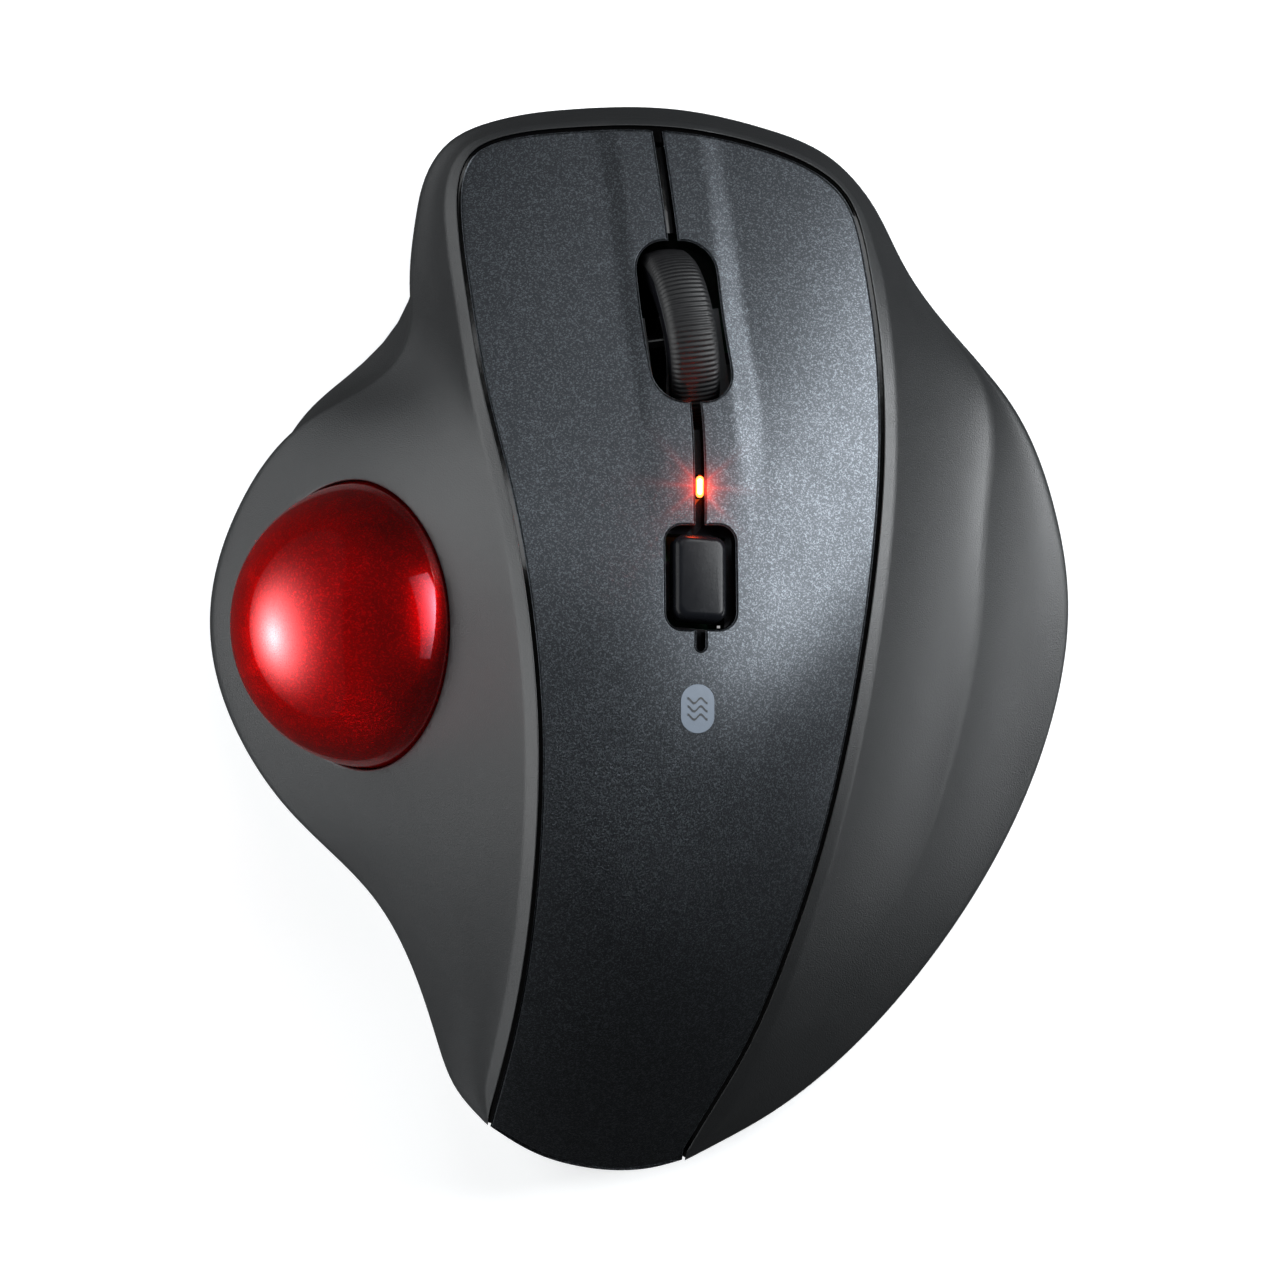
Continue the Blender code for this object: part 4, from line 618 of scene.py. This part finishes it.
def opening_cutter(shell, columns=180, reach=24.0):
    """A solid that takes the ball's bore out of the housing and rounds its rim."""
    tree = BVHTree.FromPolygons([v.co / MM for v in shell.vertices], [p.vertices for p in shell.polygons])
    side = (Vector((0, 1, 0)) - ball_out * ball_out.y).normalized()
    other = ball_out.cross(side)
    rings = []
    for k in range(columns):
        turn = 2 * math.pi * k / columns
        way = math.cos(turn) * side + math.sin(turn) * other

        def rise(out):
            hit = tree.ray_cast(BALL_CENTRE + out * way + 60 * ball_out, -ball_out)[0]
            return (hit - BALL_CENTRE).dot(ball_out)

        low, high = 10.0, BORE_RADIUS
        for _ in range(30):
            middle = (low + high) / 2
            if math.hypot(middle, rise(middle)) < BORE_RADIUS:
                low = middle
            else:
                high = middle
        slope = (rise(low + 0.4) - rise(low - 0.4)) / 0.8
        flat = np.array([1.0, slope]) / math.hypot(1, slope)
        steep = np.array([-rise(low), low]) / BORE_RADIUS
        edge = np.array([low, rise(low)])
        start = edge - OPENING_ROUND * steep
        end = edge + OPENING_ROUND * flat
        t = np.linspace(0, 0.93, 7)[:, None]
        curve = (1 - t)**2 * start + 2 * t * (1 - t) * edge + t**2 * end
        angle = math.atan2(start[1], start[0])
        bore = [(BORE_RADIUS * math.cos(a), BORE_RADIUS * math.sin(a))
                for a in np.linspace(-0.35, angle, 8)[:-1]]
        beyond = end + 0.8 * flat + np.array([0, 0.25])
        profile = [*bore, *curve, beyond, (beyond[0], reach)]
        rings.append([BALL_CENTRE + float(r) * way + float(h) * ball_out for r, h in profile])
    size = len(profile)
    faces = ring_faces(columns, size, open_rings=True, all_round=True)
    faces.append(tuple(k * size for k in range(columns)))
    faces.append(tuple(k * size + size - 1 for k in range(columns))[::-1])
    return mesh_from([point for ring in rings for point in ring], faces)


def cut_from(whole_mesh, cutter_mesh, least=0.003):
    """The whole mesh without the cutter's solid, with points closer than the least distance joined."""
    whole, cutter = placed("whole", whole_mesh), placed("cutter", cutter_mesh)
    opening = whole.modifiers.new("Opening", "BOOLEAN")
    opening.object = cutter
    opening.solver = "EXACT"
    bpy.context.view_layer.update()
    shaped = bpy.data.meshes.new_from_object(whole.evaluated_get(bpy.context.evaluated_depsgraph_get()))
    bm = bmesh.new()
    bm.from_mesh(shaped)
    bmesh.ops.remove_doubles(bm, verts=bm.verts, dist=least * MM)
    bmesh.ops.dissolve_degenerate(bm, edges=bm.edges, dist=least * MM)
    bmesh.ops.holes_fill(bm, edges=[e for e in bm.edges if e.is_boundary], sides=8)
    bm.to_mesh(shaped)
    bm.free()
    bpy.data.objects.remove(whole)
    bpy.data.objects.remove(cutter)
    return shaped


shell = housing()
piece("housing_shell", cut_from(shell, opening_cutter(shell)), SOFT_TOUCH, "case", ("side_housing",),
      smooth_angle=38)


def gap_ledge():
    """The flange under the gap round the panel, which hides the inside and clears the keys' travel."""
    line = shell_stations(200)[:, 0:2]
    out = sideways(line)
    near, rim, far = line + 0.3 * out, line - GAP * out, line - (GAP + LEDGE_WIDTH) * out
    top = panel_height(*rim.T) - LEDGE_DROP
    rings = [np.array([(*n, z), (*f, z), (*f, z - LEDGE_THICK), (*n, z - LEDGE_THICK)])
             for n, f, z in zip(near, far, top)]
    for end, before in ((0, 1), (-1, -2)):
        onward = LEDGE_REACH * (line[end] - line[before]) / np.linalg.norm(line[end] - line[before])
        fall = panel_height(*(rim[end] + onward))[0] - panel_height(*rim[end])[0]
        rings.insert(0 if end == 0 else len(rings), rings[end] + (*onward, fall))
    return mesh_from(np.vstack(rings), tube_faces(len(rings), 4))


piece("gap_ledge", gap_ledge(), GLOSS_BLACK, "case", ())


# ---------------- the centre panel
def skin(loop, free, wall_from=None):
    """A moulding's mesh inside a counter-clockwise plan loop, with its free edges rounded.

    free says how round each point's edge is, from 0 on a seam to 1.  wall_from lists the points where
    the edge turns down into the rear wall.  Returns the mesh and how many points its top face has.
    """
    size = len(loop)
    into = sideways(loop, closed=True)
    for i in np.flatnonzero(free == 1):
        if free[(i + 1) % size] == 0 or free[i - 1] == 0:
            a, b = (i - 1, i) if free[(i + 1) % size] == 0 else (i, (i + 1) % size)
            way = loop[b] - loop[a]
            into[i] = np.array([-way[1], way[0]]) / np.linalg.norm(way)
    rear = np.zeros(size, bool)
    if wall_from is not None:
        rear[wall_from] = True
    radius = np.where(rear, REAR_ROUND, SKIN_ROUND) * np.maximum(free, 0.04)
    lean_way = into.copy()
    if wall_from is not None:
        first, last = wall_from.start, wall_from.stop - 1
        for corner, other in ((first, first - 1), (last, last + 1)):
            lean_way[corner] = (loop[other] - loop[corner]) / np.linalg.norm(loop[other] - loop[corner])
            far = np.linalg.norm(loop - loop[corner], axis=1)
            ramp = SKIN_ROUND + (REAR_ROUND - SKIN_ROUND) * smooth_step(far / REAR_CORNER)
            radius = np.where(rear & (far < REAR_CORNER), ramp, radius)
    rings = []
    height = panel_height(*loop.T)
    drop = np.where(rear, SKIRT_Z, height - WALL)
    lean = np.where(rear, REAR_INSET, 0.0)[:, None]
    thick = np.where(rear, WALL, 0.0)[:, None]
    rings.append(np.column_stack([loop + lean_way * (lean + thick), drop]))
    rings.append(np.column_stack([loop + lean_way * lean, drop]))
    for share in (0.66, 0.33):
        z = height - radius + (drop - height + radius) * share
        rings.append(np.column_stack([loop + lean_way * lean * share**1.3, z]))
    for bend in np.radians(np.linspace(90, 0, 6)):
        plan = loop + into * (radius * (1 - math.sin(bend)))[:, None]
        z = panel_height(*plan.T) - radius * free * (1 - math.cos(math.pi / 2 - bend))
        rings.append(np.column_stack([plan, z]))
    rings.reverse()
    plan, faces = filled(rings[0][:, :2], TOP_STEP)
    low_plan, low_faces = filled(loop + into * thick, UNDER_STEP)
    low = np.column_stack([low_plan, panel_height(*low_plan.T) - WALL])
    points = [np.column_stack([plan, panel_height(*plan.T)]), *rings[1:], low]
    a, b = 0, len(plan)
    for ring in points[1:]:
        faces += [(a + k, b + k, b + (k + 1) % size, a + (k + 1) % size) for k in range(size)]
        a, b = b, b + len(ring)
    faces += [tuple(a + v for v in face[::-1]) for face in low_faces]
    return mesh_from(np.vstack(points), faces), len(plan)


def smooth_panel(obj, top_count):
    """Gives the top face the normals of the panel's own surface, so that no seam shows."""
    mesh = obj.data
    places = np.array([v.co for v in mesh.vertices]) / MM
    own = np.array([c.vector for c in mesh.corner_normals])
    corners = np.array([loop.vertex_index for loop in mesh.loops])
    right = panel_normals(*places[:top_count, :2].T)
    chosen = (corners < top_count) & (own[:, 2] > 0)
    own[chosen] = right[corners[chosen]]
    mesh.normals_split_custom_set([Vector(n) for n in own])


def seam_end(edge):
    """Where one side of the panel, listed from rear to front, meets the seam."""
    return np.interp(SEAM_Y, edge[:, 1], edge[:, 0]), SEAM_Y


def key_loop(side):
    """Plan outline of a key's skin, counter-clockwise, with how free each point's edge is."""
    rim = panel_rim()
    front = int(np.argmin(np.abs(rim[:, 0] - (slit_x(60)[0] + side * SLIT_HALF)) + 1e3 * (rim[:, 1] < 50)))
    outer = rim[:front + 1][::-1] if side < 0 else rim[front:]
    outer = outer[outer[:, 1] > SEAM_Y + 0.1]
    half = len(rim) // 2
    end = seam_end(rim[:half] if side < 0 else rim[half:][::-1])
    outer = resampled(np.vstack([outer, [end]]), EDGE_STEP)
    chain = np.vstack([[(SLIT_HALF, outer[0, 1] - 0.1)], opening_side(**WHEEL_SLOT),
                       opening_side(**MODE_SLOT), [(SLIT_HALF, SEAM_Y)]])
    chain = subdivided(chain, EDGE_STEP)
    inner = np.stack([slit_x(chain[:, 1]) + side * chain[:, 0], chain[:, 1]], axis=1)
    back = subdivided(np.array([end, inner[-1]]), SEAM_STEP)[1:-1]
    loop = np.vstack([outer[1:], back, inner[::-1]])
    free = np.concatenate([np.ones(len(outer) - 1), np.zeros(len(back)), np.ones(len(inner))])
    return (loop[::-1], free[::-1]) if side > 0 else (loop, free)


def palm_loop():
    """Plan outline of the palm cover's skin, its freedom, and the range of its rear points."""
    rim = panel_rim()
    half = len(rim) // 2
    left, right = rim[:half], rim[half:][::-1]
    left_end, right_end = seam_end(left), seam_end(right)
    down = resampled(np.vstack([[left_end], left[left[:, 1] < SEAM_Y - 0.1][::-1]]), EDGE_STEP)
    up = resampled(np.vstack([right[right[:, 1] < SEAM_Y - 0.1], [right_end]]), EDGE_STEP)
    place = along(np.array(REAR_EDGE))
    rear = resampled(cubic(place, REAR_EDGE, np.linspace(0, place[-1], 160)), 0.6)
    turns = np.linspace(0, -math.pi, 13)
    notch = np.column_stack([SLIT_HALF * np.cos(turns), SEAM_Y + SLIT_HALF * np.sin(turns)])
    notch[:, 0] += slit_x(notch[:, 1])
    first = subdivided(np.array([right_end, notch[0]]), SEAM_STEP)[1:-1]
    second = subdivided(np.array([notch[-1], left_end]), SEAM_STEP)[1:-1]
    loop = np.vstack([down, rear, up, first, notch, second])
    free = np.concatenate([np.ones(len(down) + len(rear) + len(up)), np.zeros(len(first)),
                           np.ones(len(notch)), np.zeros(len(second))])
    return loop, free, slice(len(down), len(down) + len(rear))


def panel_piece(name, body, stands_for, loop, free, wall_from=None):
    """A skin as a piece of the painted panel."""
    mesh, top_count = skin(loop, free, wall_from)
    made = piece(name, mesh, PANEL_PAINT, body, (stands_for,), smooth_angle=40)
    smooth_panel(made, top_count)
    return made


for side, name in ((-1, "left"), (1, "right")):
    key_skin = panel_piece(name + "_key_skin", None, name + "_button", *key_loop(side))
    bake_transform(key_skin)
panel_piece("palm_skin", "case", "palm_cover", *palm_loop())


# ---------------- the wheel
axle = Vector(joints["wheel_roll"]["axis"])
wheel_place = frame_matrix(Vector(joints["wheel_roll"]["pos_m"]) / MM, axle,
                           axle.cross(Vector((0, 0, 1)).cross(axle)))


def tyre():
    """A ribbed tyre with a crowned tread, its axle along the wheel's X."""
    half = WHEEL_WIDTH / 2
    steps = 17
    sides = RIBS * RIB_POINTS
    outer = []
    for k in range(steps):
        across = -1 + 2 * k / (steps - 1)
        outer.append((across * half, 0.55 * across**2 + 0.55 * max(0, abs(across) - 0.8) / 0.2))
    points = []
    for k in range(sides):
        turn = 2 * math.pi * k / sides
        phase = 2 * math.pi * k / RIB_POINTS
        for x, fall in outer:
            wave = 0.35 * math.sin(3.0 * x / half)
            rib = RIB_HEIGHT * (0.5 - 0.5 * math.cos(phase + wave))**0.7
            fade = min(1.0, (1 - abs(x) / half) / 0.12)
            r = WHEEL_RADIUS - fall - (RIB_HEIGHT - rib) * fade
            points.append((x, r * math.sin(turn), r * math.cos(turn)))
        for x in (half, -half):
            r = WHEEL_RADIUS - 1.5
            points.append((x, r * math.sin(turn), r * math.cos(turn)))
    return mesh_from(points, ring_faces(sides, steps + 2, all_round=True))


def wheel_hub(sides=120):
    """The gloss hub: rim, a ring groove in each face and its axle."""
    half = WHEEL_WIDTH / 2
    r = WHEEL_RADIUS - 1.52
    profile = [(0.0, 5.6), (1.1, 5.6), (1.2, 5.5), (1.2, half - 0.5), (r - 2.6, half - 0.5),
               (r - 2.4, half - 0.3), (r - 2.2, half), (r - 0.3, half), (r, half - 0.2),
               (r, 0.2 - half), (r - 0.3, -half), (r - 2.2, -half), (r - 2.4, 0.3 - half),
               (r - 2.6, 0.5 - half), (1.2, 0.5 - half), (1.2, -9.3), (1.1, -9.4), (0.0, -9.4)]
    points, size = [], len(profile) - 2
    for k in range(sides):
        turn = 2 * math.pi * k / sides
        points += [(h, rad * math.sin(turn), rad * math.cos(turn)) for rad, h in profile[1:-1]]
    points += [(profile[0][1], 0, 0), (profile[-1][1], 0, 0)]
    faces = ring_faces(sides, size, open_rings=True, all_round=True)
    for k in range(sides):
        a, b = k * size, (k + 1) % sides * size
        faces += [(sides * size, a, b), (sides * size + 1, b + size - 1, a + size - 1)]
    return mesh_from(points, faces)


piece("wheel_tyre", tyre(), TYRE_RUBBER, "wheel", ("scroll_tyre",), place=wheel_place,
      smooth_angle=50)
piece("wheel_hub", wheel_hub(), GLOSS_BLACK, "wheel", ("scroll_hub",), place=wheel_place,
      smooth_angle=40)


# ---------------- the wheel's return spring
def spring_coil(turns=4, radius=1.5, centre=(-3.0, 23.5), per_turn=36, sides=12):
    """A round wire wound about a line along Z, with closed ends."""
    count = turns * per_turn
    climb = (SPRING_TOP - SPRING_FOOT) / turns
    points = []
    for k in range(count + 1):
        turn = 2 * math.pi * k / per_turn
        out = Vector((math.cos(turn), math.sin(turn), 0))
        ahead = Vector((-2 * math.pi * radius * out.y, 2 * math.pi * radius * out.x, climb)).normalized()
        middle = Vector((*centre, SPRING_FOOT + climb * k / per_turn)) + radius * out
        rise = ahead.cross(out)
        for j in range(sides):
            a = 2 * math.pi * j / sides
            points.append(middle + SPRING_WIRE * (math.cos(a) * out + math.sin(a) * rise))
    return mesh_from(points, tube_faces(count + 1, sides))


spring = piece("wheel_spring_coil", spring_coil(), STEEL, "case", ("wheel_spring",))
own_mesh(spring)


# ---------------- the mode button and the indicator
mode_place = frame_matrix((*MODE_PLAN, panel_height(*MODE_PLAN)[0]), (1, 0, 0),
                          panel_normals(*MODE_PLAN)[0])


def button_cap(stem_radius=1.3):
    """The mode button: a flat top, a wide bevel round it and straight sides, with its stem."""
    shapes = [(0.0, -1.9, 1.4), (0.0, -0.45, 1.4), (0.06, -0.2, 1.35), (0.2, 0.05, 1.25),
              (0.42, 0.25, 1.1), (0.62, 0.36, 1.0), (0.85, 0.4, 0.9)]
    loops = [(rounded_rectangle(MODE_SIZE[0] - 2 * shrink, MODE_SIZE[1] - 2 * shrink, radius), z)
             for shrink, z, radius in shapes]
    size = len(loops[0][0])
    turns = np.linspace(0, 2 * math.pi, size, False)
    stem = stem_radius * np.column_stack([np.cos(turns), np.sin(turns)])
    rings = [level(loop, z) for loop, z in [(stem, -4.1), (stem, -1.9), *loops]]
    return mesh_from(np.vstack(rings), tube_faces(len(rings), size))


piece("mode_cap", button_cap(), BUTTON_BLACK, "mode_key", ("mode_button",),
      place=mode_place, smooth_angle=28)


def pill(length, width, low, high, edge=0.2, steps=14):
    """A lozenge with a rounded upper edge, its length along Y."""
    rings = []
    for shrink, z in ((0, low), (0, high - edge), (edge * 0.3, high - edge * 0.3), (edge, high)):
        across = width - 2 * shrink
        rings.append(level(rounded_rectangle(across, length - 2 * shrink, across / 2 - 0.001, steps), z))
    return np.vstack(rings), tube_faces(len(rings), len(rings[0]))


led_x = slit_x(LED_Y)[0]
led_z = panel_height(led_x, LED_Y)[0]
for name, size, material, stands_for in (("led_window", (2.5, 0.9, -4.6, -0.35), LED_GLOW, ("led_lens",)),
                                         ("led_core", (1.9, 0.55, -0.5, -0.22), LED_CORE, ())):
    points, faces = pill(*size)
    piece(name, mesh_from(points + (led_x, LED_Y, led_z), faces), material, "case", stands_for)

# The painted red glow on the panel round the indicator: its level and fold, its painted rays' level and fold, how
# many rays, their turn and their sharpness.
PAINTED_HALO_LEVEL, PAINTED_HALO_FOLD = 2.2, 0.75
PAINTED_RAY_LEVEL, PAINTED_RAY_FOLD = 0.5, 1.7
PAINTED_HALO_RAYS, PAINTED_HALO_TURN, PAINTED_RAY_POWER = 8, 0.6, 5.0


def painted_halo(paint, centre):
    """Paints a red glow round the indicator into a paint's emission, fading outwards in a soft star of painted
    rays.
    """
    tree = paint.node_tree
    place = add_node(tree, "TexCoord").outputs["Object"]
    away = stretched(tree, place, (1 / MM,) * 3, tuple(-c for c in centre))
    split = add_node(tree, "SeparateXYZ", {"Vector": away})
    reach = length_of(tree, away)
    angle = maths(tree, "ARCTAN2", split.outputs["Y"], split.outputs["X"])
    core = maths(tree, "EXPONENT", maths(tree, "MULTIPLY", reach, -1 / PAINTED_HALO_FOLD))
    wave = maths(tree, "COSINE", maths(tree, "ADD", maths(tree, "MULTIPLY", angle, PAINTED_HALO_RAYS), PAINTED_HALO_TURN))
    rays = maths(tree, "POWER", maths(tree, "ADD", maths(tree, "MULTIPLY", wave, 0.5), 0.5), PAINTED_RAY_POWER)
    fade = maths(tree, "EXPONENT", maths(tree, "MULTIPLY", reach, -1 / PAINTED_RAY_FOLD))
    star = maths(tree, "MULTIPLY", maths(tree, "MULTIPLY", rays, fade), PAINTED_RAY_LEVEL)
    total = maths(tree, "ADD", maths(tree, "MULTIPLY", core, PAINTED_HALO_LEVEL), star)
    fill(tree, tree.nodes["Principled BSDF"],
         {"Emission Color": (1.0, 0.035, 0.02, 1), "Emission Strength": total})


# The panel paint's emission carries the painted red glow and painted star round the indicator.
painted_halo(PANEL_PAINT, (led_x, LED_Y, led_z))


# ---------------- the ball
def ball_mesh():
    """A fine sphere."""
    mesh = bpy.data.meshes.new("ball")
    bm = bmesh.new()
    bmesh.ops.create_icosphere(bm, subdivisions=6, radius=BALL_RADIUS * MM)
    for v in bm.verts:
        v.co += BALL_CENTRE * MM
    bm.to_mesh(mesh)
    bm.free()
    return mesh


ball = piece("ball", ball_mesh(), BALL_PAINT, "ball", ("trackball",), smooth_angle=0)


# ---------------- the badge
def on_panel(points, lift):
    """Lifts plan points, with a height of their own above it, onto the panel's face."""
    points = np.asarray(points, float)
    return np.column_stack([points[:, :2], panel_height(points[:, 0], points[:, 1]) + points[:, 2] + lift])


def badge_mesh(length=5.7, width=3.9, proud=0.05):
    """A thin lozenge that follows the panel's face."""
    outer = rounded_rectangle(width, length, width / 2 - 0.001, 14)
    upper = outer * (1 - 0.04 / width)
    plan, faces = filled(upper, 0.5)
    size, base = len(outer), len(plan)
    low_plan, low_faces = filled(outer, 0.5)
    points = [level(plan, proud), level(outer, proud - 0.04), level(low_plan, -0.3)]
    for a, b in ((0, base), (base, base + size)):
        faces += [(a + k, b + k, b + (k + 1) % size, a + (k + 1) % size) for k in range(size)]
    faces += [tuple(base + size + v for v in face[::-1]) for face in low_faces]
    return mesh_from(on_panel(np.vstack(points) + (*BADGE_AT, 0), 0.0), faces)


piece("badge", badge_mesh(), BADGE, "case", ())


def ripple(offset):
    """One of the badge's level wavy lines, a neutral sign for a radio link."""
    across = np.linspace(-1.15, 1.15, 25)
    middle = 0.30 * np.sin(across * math.pi / 0.77) + offset
    edges = [level(np.column_stack([across, middle + shift]), z)
             for shift, z in ((-0.13, -0.1), (0.13, -0.1), (0.13, 0.05), (-0.13, 0.05))]
    return np.stack(edges, axis=1).reshape(-1, 3), tube_faces(len(across), 4)


for number, offset in enumerate((-0.95, 0.0, 0.95)):
    line_points, line_faces = ripple(offset)
    piece("badge_wave_%d" % (number + 1), mesh_from(on_panel(line_points + (*BADGE_AT, 0), 0.05), line_faces),
          BADGE_DARK, "case", (), smooth_angle=30)


# ---------------- floor, light and camera
FLOOR = finish("floor_paper", (0.86, 0.86, 0.86), 0.9, grain=1.2, bump=0.02, mottle=0.01, patches=60,
               emission=((1, 1, 1), 0.35))
corners = [(-1500, -1500, 0), (1500, -1500, 0), (1500, 1500, 0), (-1500, 1500, 0)]
floor = placed("floor", mesh_from(corners, [(0, 1, 2, 3)]))
floor.data.materials.append(FLOOR)
floor.visible_glossy = False
floor.visible_diffuse = False
floor.visible_shadow = False

CORE_SOFTNESS = 0.5             # how far from the core a lamp's level stays near its highest, in folds
EDGE_LEVEL = 0.002              # what is left far from the core
BODY_AIM = (0, 0, 0.02)
DAYLIGHT = (0.95, 0.98, 1.0)


def soft_light(name, place, size, watts, colour=DAYLIGHT, aim=BODY_AIM, shape="RECTANGLE"):
    """An area light that looks at a point, with its place, size and aim in metres."""
    data = bpy.data.lights.new(name, "AREA")
    data.shape = shape
    data.size, data.size_y = size
    data.energy = watts
    data.color = colour
    obj = placed(name, data)
    obj.location = place
    obj.rotation_euler = (Vector(aim) - Vector(place)).to_track_quat("-Z", "Y").to_euler()
    return obj


def graded_light(name, way, distance, size, brightness, core, fold, colour, shape="RECTANGLE"):
    """A soft light round the ball that falls off from a core, as a lamp behind cloth does.

    size, core and fold are in metres along the light's own X and Y: fold is where it has fallen to
    about a third.
    """
    aim = BALL_CENTRE * MM
    area = size[0] * size[1] * (math.pi / 4 if shape == "ELLIPSE" else 1)
    place = aim + Vector(way).normalized() * distance
    obj = soft_light(name, place, size, 4 * area * brightness, colour, aim, shape)
    obj.data.use_nodes = True
    tree = obj.data.node_tree
    shift = [-(size[k] / 2 + core[k]) / fold[k] for k in range(2)]
    own = add_node(tree, "NewGeometry").outputs["Parametric"]
    folds = length_of(tree, stretched(tree, own, (size[0] / fold[0], size[1] / fold[1], 0),
                                      (*shift, CORE_SOFTNESS)))
    fall = maths(tree, "EXPONENT", maths(tree, "SUBTRACT", CORE_SOFTNESS, folds))
    fill(tree, tree.nodes["Emission"], {"Strength": maths(tree, "ADD", fall, EDGE_LEVEL)})
    return obj


body_lights = [
    soft_light("left_box", (-0.70, 0.0, 0.42), (1.25, 0.85), 12.5, (0.97, 0.99, 1.0)),
    soft_light("left_low_front", (-0.72, 0.60, -0.20), (0.7, 0.35), 1.4),
    soft_light("left_low_rear", (-0.66, -0.62, -0.28), (0.7, 0.35), 1.3),
    soft_light("right_box", (0.66, 0.33, 0.42), (0.6, 0.30), 12.0, aim=(0, 0.01, 0.02)),
    soft_light("right_low", (0.95, -0.10, -0.10), (0.5, 0.20), 2.4),
    soft_light("front_box", (0.10, 0.70, 0.72), (0.6, 0.4), 1.7),
]
ball_lights = [
    graded_light("ball_left", (-0.941, 0, 0.338), 0.5, (2.36, 1.05), 11.5, (0.065, -0.143), (0.09, 0.09),
                 (1.0, 0.84, 0.90), "ELLIPSE"),
    graded_light("ball_right", (0.72, 0.10, 0.69), 0.5, (0.60, 0.17), 19.0, (0.0, -0.085), (0.10, 0.04),
                 (1.0, 0.50, 0.66)),
    graded_light("ball_fill", (-0.941, 0, 0.338), 0.5, (1.9, 1.0), 5.5, (0.065, -0.143), (0.5, 0.5),
                 (1.0, 0.02, 0.045), "ELLIPSE"),
]
only_ball = bpy.data.collections.new("only_ball")
all_but_ball = bpy.data.collections.new("all_but_ball")
for group, lights in ((only_ball, ball_lights), (all_but_ball, body_lights)):
    group.objects.link(ball)
    for light in lights:
        light.light_linking.receiver_collection = group
all_but_ball.collection_objects[0].light_linking.link_state = "EXCLUDE"

glow = bpy.data.lights.new("indicator_glow", "POINT")
glow.color = (1.0, 0.05, 0.01)
glow.energy = 0.003
glow.shadow_soft_size = 0.0006
placed("indicator_glow", glow).location = Vector((led_x + 1.5, LED_Y + 0.75, led_z + 1.4)) * MM

world = bpy.data.worlds.new("surround")
world.use_nodes = True
fill(world.node_tree, world.node_tree.nodes["Background"], {"Color": (1, 1, 1, 1), "Strength": 0.03})
bpy.context.scene.world = world

FRAME_WIDTH = 0.15104           # what the camera takes in at the frame height
CAMERA_HEIGHT, FRAME_HEIGHT = 1.6, 0.02
SENSOR = 36
camera_data = bpy.data.cameras.new("camera")
camera_data.sensor_width = SENSOR
camera_data.lens = SENSOR * (CAMERA_HEIGHT - FRAME_HEIGHT) / FRAME_WIDTH
camera_data.clip_end = 10
camera = placed("camera", camera_data)
camera.location = (0, 0, CAMERA_HEIGHT)
bpy.context.scene.camera = camera
bpy.context.scene.view_settings.view_transform = "Standard"
